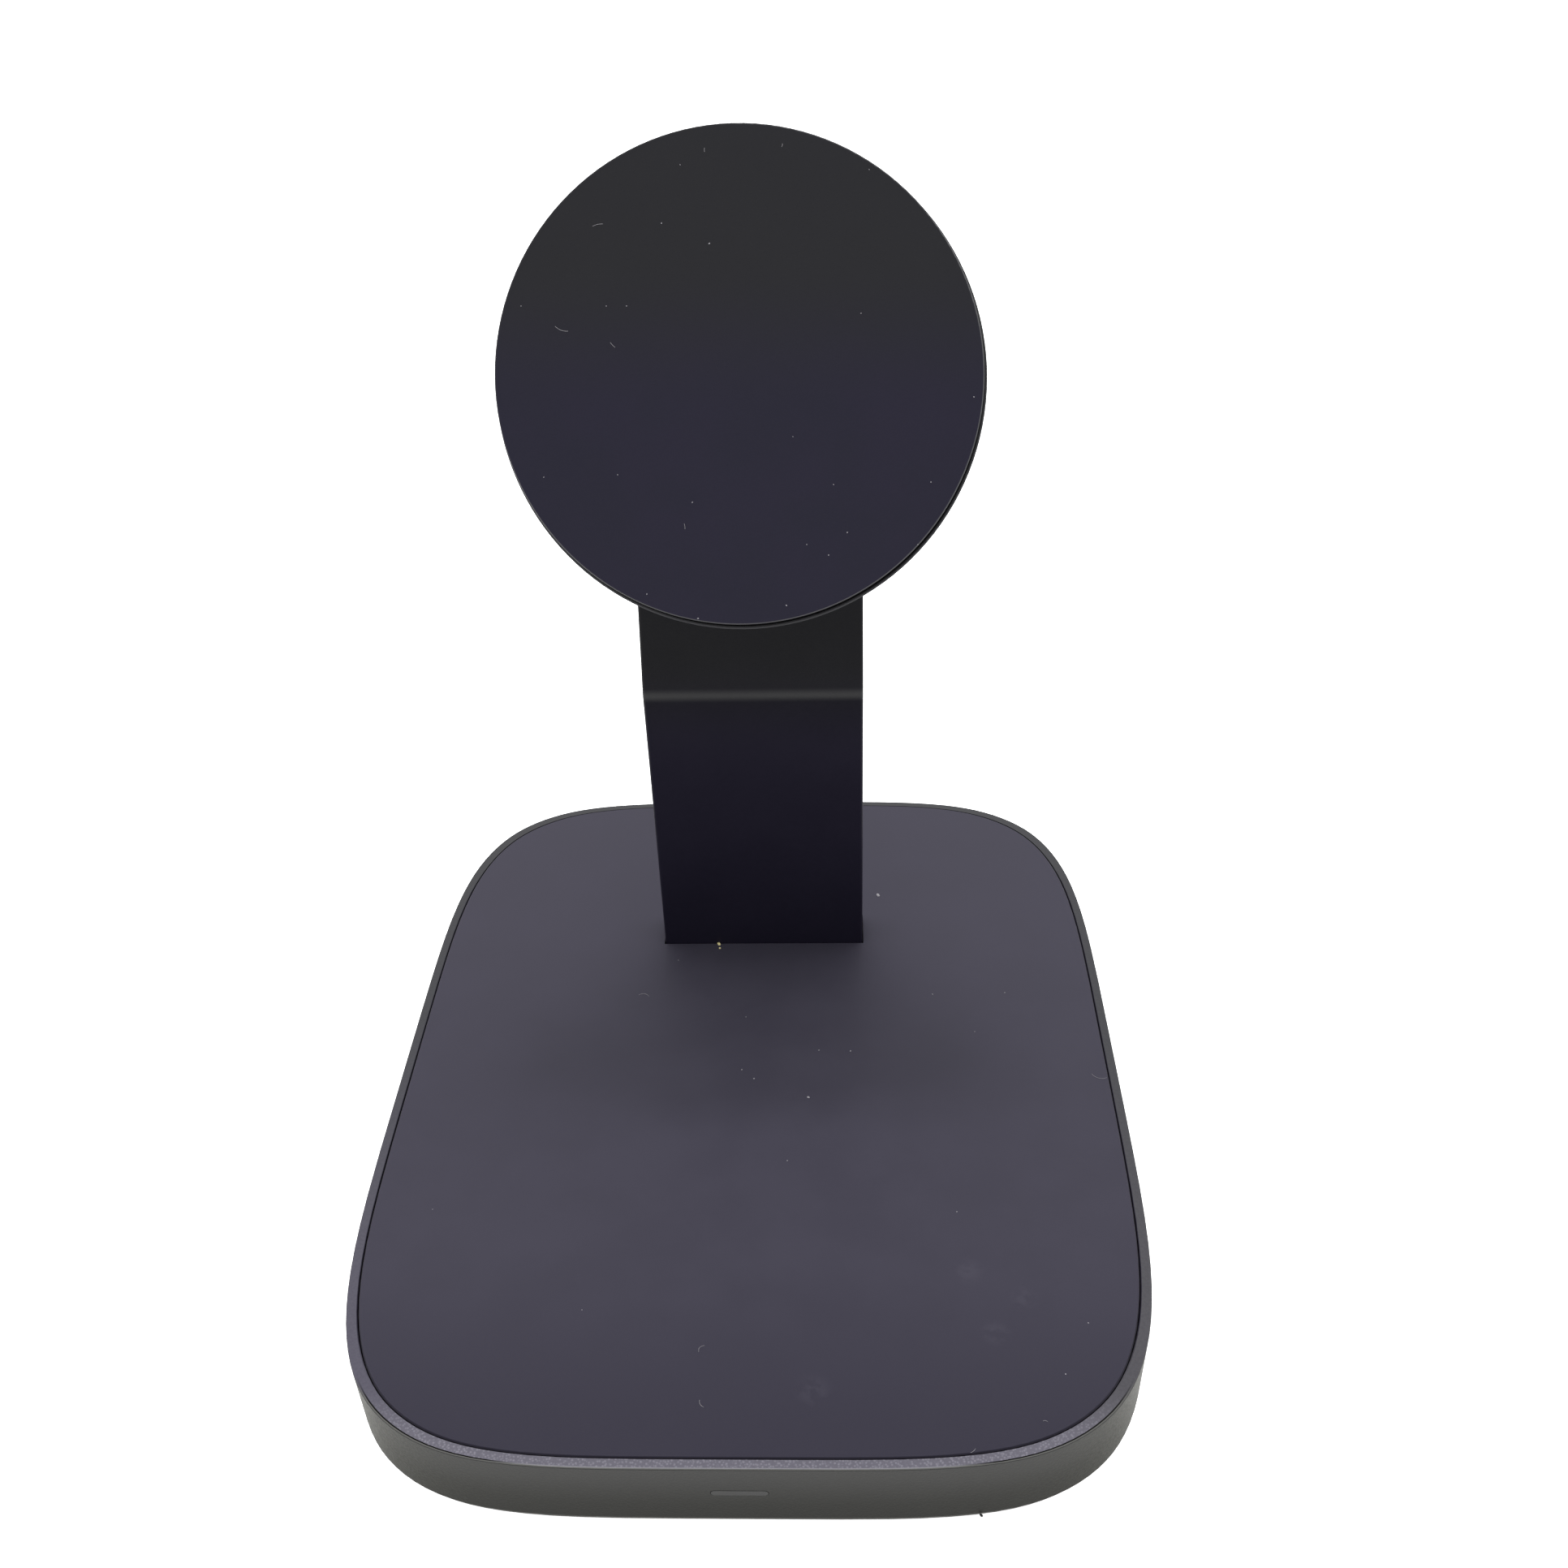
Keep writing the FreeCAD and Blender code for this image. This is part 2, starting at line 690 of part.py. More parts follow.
def make_ballast_plate():
    plate = block("ballast_block", ("-ballast_width / 2", "ballast_width / 2"),
                  ("ballast_front", "ballast_back"), ("cover_top", "ballast_top"))
    holes = []
    for side, sign in (("left", "-"), ("right", "")):
        across = {"x": f"{sign}arm_screw_x", "y": "arm_screw_y"}
        holes.append(rod(f"ballast_hole_{side}", "z", "arm_screw_radius + screw_play",
                         ("cover_top - cut_past", "ballast_top + cut_past"), **across))
        holes.append(rod(f"ballast_bore_{side}", "z", "arm_screw_head + screw_play",
                         ("cover_top - cut_past", "cover_top + arm_screw_head_height"), **across))
    return cut("ballast_plate", plate, holes)


# Electronics of the base

def make_main_board():
    board = block("board_sheet", ("-board_width / 2", "board_width / 2"), ("board_front", "board_back"),
                  ("board_low", "board_top"))
    holes = [rod(f"board_hole_{side}", "z", "board_screw_radius + screw_play",
                 ("board_low - cut_past", "board_top + cut_past"),
                 x=f"{sign}board_screw_x", y="board_screw_y")
             for side, sign in (("left", "-"), ("right", ""))]
    return cut("main_board", board, holes)


def make_board_screws():
    return group("board_screws", [
        screw(f"board_screw_{side}", "board_screw_radius", "board_screw_head",
              ("board_top", "board_top + board_screw_head_height"),
              ("recess_top + 2 * screw_play", "board_top + board_screw_head_height"),
              x=f"{sign}board_screw_x", y="board_screw_y")
        for side, sign in (("left", "-"), ("right", ""))])


def make_control_chip():
    return block("control_chip", ("-chip_side", "0"), ("chip_front", "chip_front + chip_side"),
                 ("board_top", "board_top + chip_height"))


def make_power_inductor():
    return rod("power_inductor", "z", "inductor_radius", ("board_top", "board_top + inductor_height"),
               x="-chip_side - inductor_radius * 2", y="board_front + board_depth / 2")


def make_usb_c_socket():
    shell = pill("socket_outside", "socket_width", "socket_height", ("socket_rear", "socket_mouth"),
                 "socket_z")
    inside = pill("socket_inside", "socket_width - 2 * socket_wall", "socket_height - 2 * socket_wall",
                  ("socket_rear + socket_back", "socket_mouth + cut_past"), "socket_z")
    return cut("usb_c_socket", shell, [inside])


def make_usb_c_tongue():
    half_block = "(socket_width - socket_height) / 2"
    half_height = "(socket_height / 2 - socket_wall)"
    root = block("tongue_root", (f"-{half_block}", half_block),
                 ("socket_rear + socket_back", "socket_rear + socket_back + tongue_block"),
                 (f"socket_z - {half_height}", f"socket_z + {half_height}"))
    plate = block("tongue_plate", ("-tongue_plate_width / 2", "tongue_plate_width / 2"),
                  ("socket_rear + socket_back", "socket_mouth - tongue_setback"),
                  ("socket_z - tongue_plate_height / 2", "socket_z + tongue_plate_height / 2"))
    return fuse("usb_c_tongue", [root, plate])


def make_led_window():
    pipe = pill("window_pipe", "light_width", "light_height", ("light_front", "light_back"), "light_z")
    lip = pill("window_lip", "light_width + 2 * light_lip", "light_height + 2 * light_lip",
               ("wall_thickness - base_depth / 2", "light_back"), "light_z")
    return fuse("led_window", [pipe, lip])


def make_led_board():
    return block("led_board", ("-led_board_width / 2", "led_board_width / 2"),
                 ("light_back", "led_board_back"), ("led_board_low", "led_low"))


def make_status_led():
    return block("status_led", ("-led_width / 2", "led_width / 2"), ("light_back", "led_back"),
                 ("led_low", "led_low + led_height"))


def make_led_lead():
    start = "led_board_width / 4"
    return lead("led_lead", "lead_radius", [
        (start, "led_lead_y", "led_low"),
        (start, "led_lead_y", "lead_z"),
        ("lead_x", "led_lead_y", "lead_z"),
        ("lead_x", "lead_board_y", "lead_z"),
        ("lead_x", "lead_board_y", "board_top"),
    ], ["lead_bend"] * 3)


def make_coil_holder():
    tray = turned("holder_tray", [
        ("0", "ballast_top"), ("holder_radius", "ballast_top"), ("holder_radius", "coil_top"),
        ("holder_inside", "coil_top"), ("holder_inside", "ferrite_low"), ("0", "ferrite_low"),
    ])
    place(tray, y="pad_y")
    notch = block("holder_notch", ("-holder_radius - cut_past", "-coil_radius"),
                  ("pad_y - lead_radius - holder_gap", "pad_y + lead_radius + holder_gap"),
                  ("coil_low - screw_play", "coil_top + cut_past"))
    return cut("coil_holder", tray, [notch])


def make_pad_ferrite():
    return rod("pad_ferrite", "z", "ferrite_radius", ("ferrite_low", "coil_low"), y="pad_y")


def make_pad_coil():
    ring = turned("pad_coil", washer_shape("coil_hole", "coil_radius", "coil_low", "coil_top"))
    return place(ring, y="pad_y")


def make_coil_lead():
    return lead("coil_lead", "lead_radius", [
        ("-coil_radius", "pad_y", "lead_z"),
        ("-lead_x", "pad_y", "lead_z"),
        ("-lead_x", "lead_board_y", "lead_z"),
        ("-lead_x", "lead_board_y", "board_top"),
    ], ["lead_bend"] * 2)


# Arm

def make_arm_shell():
    bar = padded("arm_bar", arm_strip("0", "arm_thickness", "ballast_top", "arm_reach"), "arm_width")
    bends = [spot(arm_bend("0")), spot(arm_bend("arm_thickness"))]
    ends = [spot(arm_low("arm_middle", "ballast_top")), spot(arm_high("arm_middle", "arm_reach"))]
    side = value("arm_width / 2")

    def on_bend(edge):
        return any((edge.CenterOfMass - bend).Length < NEAR for bend in bends)

    def along_side(edge):
        middle = edge.CenterOfMass
        flat = Vector(0, middle.y, middle.z)
        return abs(abs(middle.x) - side) < NEAR and all((flat - end).Length > NEAR for end in ends)

    rounded(bar, "arm_bend_round", "arm_bend_radius", on_bend)
    rounded(bar, "arm_side_round", "arm_edge", along_side)
    hollow = arm_strip("arm_wall", "arm_thickness + cut_past", "ballast_top - cut_past", "channel_end")
    channel = padded("arm_channel", hollow, "arm_inside")
    post = padded("arm_post", [
        arm_low("arm_wall - cap_gap", "ballast_top"), arm_low("arm_wall - cap_gap", "arm_post_top"),
        arm_low("arm_cover_depth", "arm_post_top"), arm_low("arm_cover_depth", "ballast_top"),
    ], "arm_post_width")
    knuckle = on_hinge("arm_knuckle", "knuckle_radius", ("-arm_width / 2", "arm_width / 2"))
    solid = fuse("arm_solid", [cut("arm_open_bar", bar, [channel]), post, knuckle])
    tools = [
        arm_block("arm_slot", ("-slot_half", "slot_half"),
                  ("arm_middle - knuckle_radius - cut_past", "arm_middle + knuckle_radius + cut_past"),
                  ("slot_floor", "arm_reach + knuckle_radius + cut_past")),
        arm_block("arm_cable_way",
                  ("cable_x - cable_radius - cable_play", "cable_x + cable_radius + cable_play"),
                  ("arm_wall", "arm_thickness - arm_wall"), ("channel_end - cut_past", "arm_reach")),
        on_hinge("arm_bore_left", "ear_bore", ("-arm_width / 2 - cut_past", "-ear_face")),
        on_hinge("arm_bore_right", "ear_bore", ("ear_face", "arm_width / 2 + cut_past")),
        on_hinge("arm_pin_hole", "pin_radius + pin_play", ("-ear_face - cut_past", "0")),
        on_hinge("arm_bush_hole", "bush_radius + cap_gap", ("0", "ear_face + cut_past")),
    ]
    for side_name, sign in (("left", "-"), ("right", "")):
        tools.append(rod(f"arm_screw_hole_{side_name}", "z", "arm_screw_radius + screw_play",
                         ("ballast_top - cut_past", "arm_screw_tip + screw_play"),
                         x=f"{sign}arm_screw_x", y="arm_screw_y"))
    return cut("arm_shell", solid, tools)


def make_arm_back_cover():
    strip = arm_strip("arm_cover_depth", "arm_thickness", "deck_low", "channel_end - arm_gap")
    return padded("arm_back_cover", strip, "arm_inside - 2 * arm_gap")


def make_arm_screws():
    return group("arm_screws", [
        screw(f"arm_screw_{side}", "arm_screw_radius", "arm_screw_head",
              ("cover_top", "cover_top + arm_screw_head_height"), ("cover_top", "arm_screw_tip"),
              x=f"{sign}arm_screw_x", y="arm_screw_y")
        for side, sign in (("left", "-"), ("right", ""))])


def make_arm_cable():
    low_y, low_z = arm_low("arm_middle", "cable_z")
    return lead("arm_cable", "cable_radius", [
        ("cable_x", "cable_board_y", "board_top"),
        ("cable_x", "cable_board_y", "cable_z"),
        ("cable_x", low_y, low_z),
        ("cable_x", *arm_bend("arm_middle")),
        ("cable_x", "hinge_y", "hinge_z"),
        ("cable_end", "hinge_y", "hinge_z"),
    ], ["cable_bend - cable_radius", "cable_bend", "arm_reach / 2", "cable_bend"])


def make_hinge_bush():
    sleeve = on_hinge("bush_sleeve", "bush_radius", ("bush_end", "ear_face + bush_flange"))
    flange = on_hinge("bush_collar", "bush_flange_radius", ("ear_face", "ear_face + bush_flange"))
    hole = on_hinge("bush_hole", "bush_bore", ("0", "ear_face + bush_flange + cut_past"))
    return cut("hinge_bush", fuse("bush_solid", [sleeve, flange]), [hole])


def make_hinge_caps():
    inner = "(arm_width / 2 - cap_gap - cap_thickness)"
    outer = "(arm_width / 2 - cap_gap)"
    return group("hinge_caps", [
        on_hinge("hinge_cap_left", "ear_bore - cap_gap", (f"-{outer}", f"-{inner}")),
        on_hinge("hinge_cap_right", "ear_bore - cap_gap", (inner, outer)),
    ])


# Hinge pieces that turn with the head

def make_hinge_pin():
    return on_hinge("hinge_pin", "pin_radius", ("-pin_tip", "-pin_end"))


def make_spring_washers():
    washers = []
    for number in range(2):
        near = f"-washer_face - {number} * washer_thickness"
        disc = on_hinge(f"washer_disc_{number}", "washer_radius", (f"{near} - washer_thickness", near))
        hole = on_hinge(f"washer_hole_{number}", "pin_radius + cap_gap",
                        (f"{near} - washer_thickness - cut_past", f"{near} + cut_past"))
        washers.append(cut(f"spring_washer_{number}", disc, [hole]))
    return group("spring_washers", washers)


def make_hinge_nut():
    prism = add("Part::Prism", "nut_prism")
    prism.Polygon = 6
    bind(prism, Circumradius="nut_radius", Height="nut_height")
    place(prism, "-nut_face - nut_height", "hinge_y", "hinge_z", AXIS_TURNS["x"])
    hole = on_hinge("nut_hole", "pin_radius + cap_gap",
                    ("-nut_face - nut_height - cut_past", "-nut_face + cut_past"))
    return cut("hinge_nut", prism, [hole])


def bracket_screw_spots():
    return [(str(angle), f"bracket_screw_ring * cos({angle})", f"bracket_screw_ring * sin({angle})")
            for angle in BRACKET_SCREW_ANGLES]


def make_tilt_bracket():
    half = "tongue_width / 2"
    barrel = rod("bracket_barrel", "x", "tongue_radius", (f"-{half}", half))
    neck = block("bracket_neck", (f"-{half}", half), ("-neck_half", "neck_half"),
                 ("0", "housing_rear - screw_play"))
    flange = rod("bracket_flange", "z", "flange_radius", ("flange_low", "housing_rear"))
    tools = [
        rod("bracket_pin_hole", "x", "pin_radius + cap_gap", (f"-{half} - cut_past", "-pin_end")),
        rod("bracket_bush_hole", "x", "bush_radius + pin_play", ("-chamber_end", f"{half} + cut_past")),
        rod("bracket_lead_hole", "z", "cable_radius + cable_play", ("0", "housing_rear + cut_past"),
            x="head_lead_x"),
    ]
    tools += [rod(f"bracket_screw_hole_{name}", "z", "bracket_screw_radius + screw_play",
                  ("flange_low - cut_past", "housing_rear + cut_past"), x=x, y=y)
              for name, x, y in bracket_screw_spots()]
    return on_head(cut("tilt_bracket", fuse("bracket_solid", [barrel, neck, flange]), tools))


def make_bracket_screws():
    return on_head(group("bracket_screws", [
        screw(f"bracket_screw_{name}", "bracket_screw_radius", "bracket_screw_head",
              ("floor_top", "floor_top + bracket_screw_head_height"),
              ("bracket_screw_tip", "floor_top + bracket_screw_head_height"), x=x, y=y)
        for name, x, y in bracket_screw_spots()]))


# Charging head

def make_head_housing():
    cup = turned("housing_cup", [
        ("0", "housing_rear"), ("housing_back_radius", "housing_rear"), ("housing_radius", "housing_wide"),
        ("housing_radius", "cup_rim - cup_bevel"), ("housing_radius - cup_bevel", "cup_rim"),
        ("housing_inside", "cup_rim"), ("housing_inside", "slot_bottom"),
        ("ledge_outside", "slot_bottom"), ("ledge_outside", "carrier_low"), ("ledge_inside", "carrier_low"),
        ("housing_back_radius - housing_floor", "floor_top"), ("0", "floor_top"),
    ])
    low = value("housing_rear")
    back = value("housing_back_radius")

    def back_edge(edge):
        if edge.Curve.TypeId != "Part::GeomCircle":
            return False
        return abs(edge.Curve.Center.z - low) < NEAR and abs(edge.Curve.Radius - back) < NEAR

    rounded(cup, "housing_round", "housing_back_round", back_edge)
    tools = [rod("housing_lead_hole", "z", "cable_radius + cable_play",
                 ("housing_rear - cut_past", "floor_top + cut_past"), x="head_lead_x")]
    tools += [rod(f"housing_screw_hole_{name}", "z", "bracket_screw_radius + screw_play",
                  ("housing_rear - cut_past", "floor_top + cut_past"), x=x, y=y)
              for name, x, y in bracket_screw_spots()]
    return on_head(cut("head_housing", cup, tools))


def make_head_face():
    face = turned("head_face", [
        ("0", "face_back"), ("face_ring_inside", "face_back"), ("face_ring_inside", "carrier_low"),
        ("head_radius", "carrier_low"), ("head_radius", "head_reach"), ("0", "head_reach"),
    ])
    front = value("head_reach")

    def front_edge(edge):
        return edge.Curve.TypeId == "Part::GeomCircle" and abs(edge.Curve.Center.z - front) < NEAR

    return on_head(rounded(face, "face_round", "face_edge", front_edge))


def make_magnet_carrier():
    return on_head(turned("magnet_carrier", [
        ("0", "carrier_low"), ("carrier_radius", "carrier_low"), ("carrier_radius", "carrier_top"),
        ("rib_outside", "carrier_top"), ("rib_outside", "head_coil_top"), ("rib_inside", "head_coil_top"),
        ("rib_inside", "carrier_top"), ("0", "carrier_top"),
    ]))


def make_magnet_shunt():
    ring = washer_shape("magnet_inside", "magnet_outside", "carrier_top", "shunt_top")
    return on_head(turned("magnet_shunt", ring))


def make_magnet_ring():
    pitch = 360 / MAGNET_COUNT
    magnets = []
    for number in range(MAGNET_COUNT):
        sector = rod(f"magnet_sector_{number}", "z", "magnet_outside", ("shunt_top", "head_coil_top"))
        bind(sector, Angle=f"{pitch} - magnet_split_deg")
        hole = rod(f"magnet_hole_{number}", "z", "magnet_inside",
                   ("shunt_top - cut_past", "head_coil_top + cut_past"))
        magnet = cut(f"magnet_{number}", sector, [hole])
        magnet.Placement = Placement(Vector(), Rotation(Vector(0, 0, 1), number * pitch))
        magnets.append(magnet)
    return on_head(group("magnet_ring", magnets))


def make_head_coil():
    ring = washer_shape("head_coil_hole", "head_coil_radius", "head_coil_low", "head_coil_top")
    return on_head(turned("head_coil", ring))


def make_head_ferrite():
    disc = washer_shape("0", "head_coil_radius", "carrier_top", "head_coil_low")
    return on_head(turned("head_ferrite", disc))


def make_head_board():
    disc = washer_shape("0", "head_board_radius", "head_board_low", "carrier_low")
    return on_head(turned("head_board", disc))


def make_head_chip():
    low = "head_chip_y - head_chip_side / 2"
    high = "head_chip_y + head_chip_side / 2"
    section = washer_shape(low, high, "head_board_low - chip_height", "head_board_low")
    return on_head(padded("head_chip", section, "head_chip_side"))


def make_head_lead():
    return on_head(lead("head_lead", "cable_radius", [
        ("cable_end - cable_joint_gap", "0", "0"),
        ("head_lead_x", "0", "0"),
        ("head_lead_x", "0", "head_board_low"),
    ], ["cable_bend"]))


NODES = [
    make_base_frame(), make_top_skin(), make_deck_panel(), make_bottom_cover(), make_foot_pad(),
    make_cover_screws(), make_ballast_plate(), make_main_board(), make_board_screws(), make_control_chip(),
    make_power_inductor(), make_usb_c_socket(), make_usb_c_tongue(), make_led_window(), make_led_board(),
    make_status_led(), make_led_lead(), make_coil_holder(), make_pad_ferrite(), make_pad_coil(),
    make_coil_lead(), make_arm_shell(), make_arm_back_cover(), make_arm_screws(), make_arm_cable(),
    make_hinge_bush(), make_hinge_caps(), make_hinge_pin(), make_spring_washers(), make_hinge_nut(),
    make_tilt_bracket(), make_bracket_screws(), make_head_housing(), make_head_face(), make_magnet_carrier(),
    make_magnet_shunt(), make_magnet_ring(), make_head_coil(), make_head_ferrite(), make_head_board(),
    make_head_chip(), make_head_lead(),
]
doc.recompute()

for item in doc.Objects:
    if "Invalid" in item.State or "Error" in item.State:
        raise RuntimeError(f"{item.Label} failed: {item.State}")
for node in NODES:
    if node.Shape.isNull() or not node.Shape.isValid() or not node.Shape.Solids:
        raise RuntimeError(f"{node.Label} has no valid solid")

os.makedirs("parts", exist_ok=True)
for node in NODES:
    node.Shape.exportStep(os.path.join("parts", f"{node.Label}.step"))
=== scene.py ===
"""Looks of the two in one wireless charging stand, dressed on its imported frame."""
import json
import math
import random

import bmesh
import bpy
from mathutils import Matrix, Vector


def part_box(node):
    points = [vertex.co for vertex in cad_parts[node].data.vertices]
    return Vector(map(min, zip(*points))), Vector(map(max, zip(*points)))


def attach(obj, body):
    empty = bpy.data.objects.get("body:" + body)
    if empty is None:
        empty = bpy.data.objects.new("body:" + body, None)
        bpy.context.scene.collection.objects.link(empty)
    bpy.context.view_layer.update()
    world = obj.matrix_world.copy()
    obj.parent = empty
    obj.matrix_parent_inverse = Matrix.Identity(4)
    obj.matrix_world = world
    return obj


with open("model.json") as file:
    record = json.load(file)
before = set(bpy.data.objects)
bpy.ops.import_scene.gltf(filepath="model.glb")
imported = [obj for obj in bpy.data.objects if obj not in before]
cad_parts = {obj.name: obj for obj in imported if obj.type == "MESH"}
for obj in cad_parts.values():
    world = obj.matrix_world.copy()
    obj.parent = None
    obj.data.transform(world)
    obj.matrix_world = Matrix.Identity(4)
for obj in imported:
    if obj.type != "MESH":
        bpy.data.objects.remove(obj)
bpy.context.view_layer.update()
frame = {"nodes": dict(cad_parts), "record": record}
nodes = frame["nodes"]

MM = 0.001


# Colours

BYTE_HIGHEST = 255
CURVE_KNEE = 0.04045
CURVE_SLOPE = 12.92
CURVE_OFFSET = 0.055
CURVE_POWER = 2.4


def linear(byte):
    """Scene level of one display byte."""
    share = byte / BYTE_HIGHEST
    if share <= CURVE_KNEE:
        return share / CURVE_SLOPE
    return ((share + CURVE_OFFSET) / (1 + CURVE_OFFSET)) ** CURVE_POWER


def srgb(red, green, blue):
    """Scene colour of a display colour given in bytes."""
    return (linear(red), linear(green), linear(blue), 1.0)


WHITE = srgb(255, 255, 255)


# Places on the stand, from the frame

MOUNTS = {mount["name"]: (Vector(mount["pos_m"]), Vector(mount["axis"]))
          for mount in frame["record"]["mounts"]}
PAD_PLANE = MOUNTS["pad"]
HEAD_PLANE = MOUNTS["phone_face"]
RIM_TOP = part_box("base_frame")[1].z
WALL_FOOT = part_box("base_frame")[0].z
PAD_COIL = (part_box("pad_coil")[0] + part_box("pad_coil")[1]) / 2
LIGHT_LOW, LIGHT_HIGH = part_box("led_window")


# Line of sight of the photograph, in pixels, degrees and metres

PHOTO_SIDE = 1932
FOCAL_PIXELS = 2040
CAMERA_PLACE = Vector((10.82, -162.42, 166.73)) * MM
CAMERA_ELEVATION = 34.28
CAMERA_YAW = -2.20
CAMERA_ROLL = 1.70


def camera_axes():
    """Right, down and forward of the camera."""
    elevation = math.radians(CAMERA_ELEVATION)
    yaw = math.radians(CAMERA_YAW)
    roll = math.radians(CAMERA_ROLL)
    forward = Vector((math.sin(yaw) * math.cos(elevation), math.cos(yaw) * math.cos(elevation),
                      -math.sin(elevation)))
    level = Vector((math.cos(yaw), -math.sin(yaw), 0))
    below = forward.cross(level)
    right = level * math.cos(roll) + below * math.sin(roll)
    down = below * math.cos(roll) - level * math.sin(roll)
    return right, down, forward


def on_plane(pixel, plane):
    """Where the line of sight through a pixel of the photograph meets a plane."""
    right, down, forward = camera_axes()
    point, normal = plane
    half = PHOTO_SIDE / 2
    sight = forward * FOCAL_PIXELS + right * (pixel[0] - half) + down * (pixel[1] - half)
    return CAMERA_PLACE + sight * ((point - CAMERA_PLACE).dot(normal) / sight.dot(normal))


# Node trees

NOISE_LOW = 0.3
NOISE_HIGH = 0.7


class Nodes:
    """Short ways to add, feed and combine the nodes of a tree."""

    def __init__(self, tree):
        self.tree = tree

    def add(self, kind, inputs=(), **settings):
        """New node with its settings and what feeds it."""
        node = self.tree.nodes.new(kind)
        for name, setting in settings.items():
            setattr(node, name, setting)
        for key, source in dict(inputs).items():
            self.feed(node.inputs[key], source)
        return node

    def feed(self, socket, source):
        """Link a socket to another, or set its constant."""
        if isinstance(source, bpy.types.NodeSocket):
            self.tree.links.new(source, socket)
        else:
            socket.default_value = source

    def calc(self, kind, *terms):
        """Result of an operation on numbers."""
        node = self.add("ShaderNodeMath", enumerate(terms), operation=kind)
        return node.outputs["Value"]

    def vector(self, kind, *terms):
        """Node of an operation on vectors."""
        return self.add("ShaderNodeVectorMath", enumerate(terms), operation=kind)

    def span(self, source, low, high, to_low=0.0, to_high=1.0):
        """Smooth step of a value between two limits."""
        node = self.add("ShaderNodeMapRange", {
            "Value": source, "From Min": low, "From Max": high, "To Min": to_low, "To Max": to_high},
            interpolation_type="SMOOTHSTEP")
        return node.outputs["Result"]

    def band(self, source, low, high, soft):
        """One between two limits and nought outside them."""
        above = self.span(source, low - soft, low)
        below = self.span(source, high + soft, high)
        return self.calc("MULTIPLY", above, below)

    def mix(self, share, first, second):
        """Colour between two others."""
        node = self.add("ShaderNodeMix", data_type="RGBA")
        self.feed(node.inputs["Factor"], share)
        colours = [socket for socket in node.inputs if socket.type == "RGBA"]
        self.feed(colours[0], first)
        self.feed(colours[1], second)
        return next(socket for socket in node.outputs if socket.type == "RGBA")


class Finish(Nodes):
    """A procedural material on a piece's own coordinates, with its grains and depths in millimetres."""

    def __init__(self, name, **constants):
        self.material = bpy.data.materials.new(name)
        self.material.use_nodes = True
        super().__init__(self.material.node_tree)
        self.shader = self.tree.nodes["Principled BSDF"]
        for socket, constant in constants.items():
            self.shader.inputs[socket.replace("_", " ")].default_value = constant
        self.place = self.add("ShaderNodeTexCoord").outputs["Object"]
        self.tone = None

    def coordinate(self, letter):
        """One coordinate of the place: X across, Y to the back or Z up."""
        return self.add("ShaderNodeSeparateXYZ", {"Vector": self.place}).outputs[letter]

    def from_point(self, centre):
        """Distance from a point."""
        return self.vector("DISTANCE", self.place, centre).outputs["Value"]

    def from_axis(self, centre, axis):
        """Distance from a line through a centre."""
        offset = self.vector("SUBTRACT", self.place, centre).outputs["Vector"]
        across = self.vector("CROSS_PRODUCT", offset, axis).outputs["Vector"]
        return self.vector("LENGTH", across).outputs["Value"]

    def along_axis(self, centre, axis):
        """Height over the plane that a line crosses squarely at a centre."""
        offset = self.vector("SUBTRACT", self.place, centre).outputs["Vector"]
        return self.vector("DOT_PRODUCT", offset, axis).outputs["Value"]

    def noise(self, grain, detail=2.0):
        """Cloudy noise."""
        texture = self.add("ShaderNodeTexNoise", {
            "Vector": self.place, "Scale": 1 / (grain * MM), "Detail": detail})
        return texture.outputs["Fac"]

    def cells(self, grain):
        """Distance to the nearest of many scattered points."""
        texture = self.add("ShaderNodeTexVoronoi", {"Vector": self.place, "Scale": 1 / (grain * MM)})
        return texture.outputs["Distance"]

    def mottle(self, noise, dark, light):
        """Two colours, shared out by a noise."""
        return self.mix(self.span(noise, NOISE_LOW, NOISE_HIGH), dark, light)

    def colour(self, source):
        """Base colour, kept as the tone that a later step can build on."""
        self.tone = source
        self.feed(self.shader.inputs["Base Color"], source)
        return self

    def rough(self, noise, low, high):
        """Roughness between two limits, shared out by a noise."""
        self.feed(self.shader.inputs["Roughness"], self.span(noise, NOISE_LOW, NOISE_HIGH, low, high))
        return self

    def bump(self, source, depth, strength):
        """Relief of the surface."""
        node = self.add("ShaderNodeBump", {
            "Height": source, "Distance": depth * MM, "Strength": strength})
        self.feed(self.shader.inputs["Normal"], node.outputs["Normal"])
        return self


# Soft skins of the base and of the head

PAD_DARK = srgb(46, 44, 55)
PAD_LIGHT = srgb(49, 47, 58)
# Painted shade: the skin turns darker towards the front
PAD_FRONT_SHADE = srgb(39, 37, 48)
PAD_FADE_BACK = -30 * MM
PAD_FADE_FRONT = -60 * MM
# Painted shade on the skin's side, below its top
PAD_EDGE_SHADE = srgb(24, 22, 32)
PAD_EDGE_LOW = PAD_PLANE[0].z - 0.06 * MM
PAD_EDGE_HIGH = PAD_PLANE[0].z - 0.02 * MM

# Faint hand marks on the pad: pixel of the photograph and radius in millimetres
SMUDGES = (((1193, 1566), 2.4), ((1262, 1599), 2.0), ((1226, 1642), 2.2), ((1002, 1713), 2.6))
SMUDGE_TONE = srgb(70, 68, 78)
SMUDGE_SHARE = 0.2
SMUDGE_LOW = 0.35
SMUDGE_HIGH = 0.6

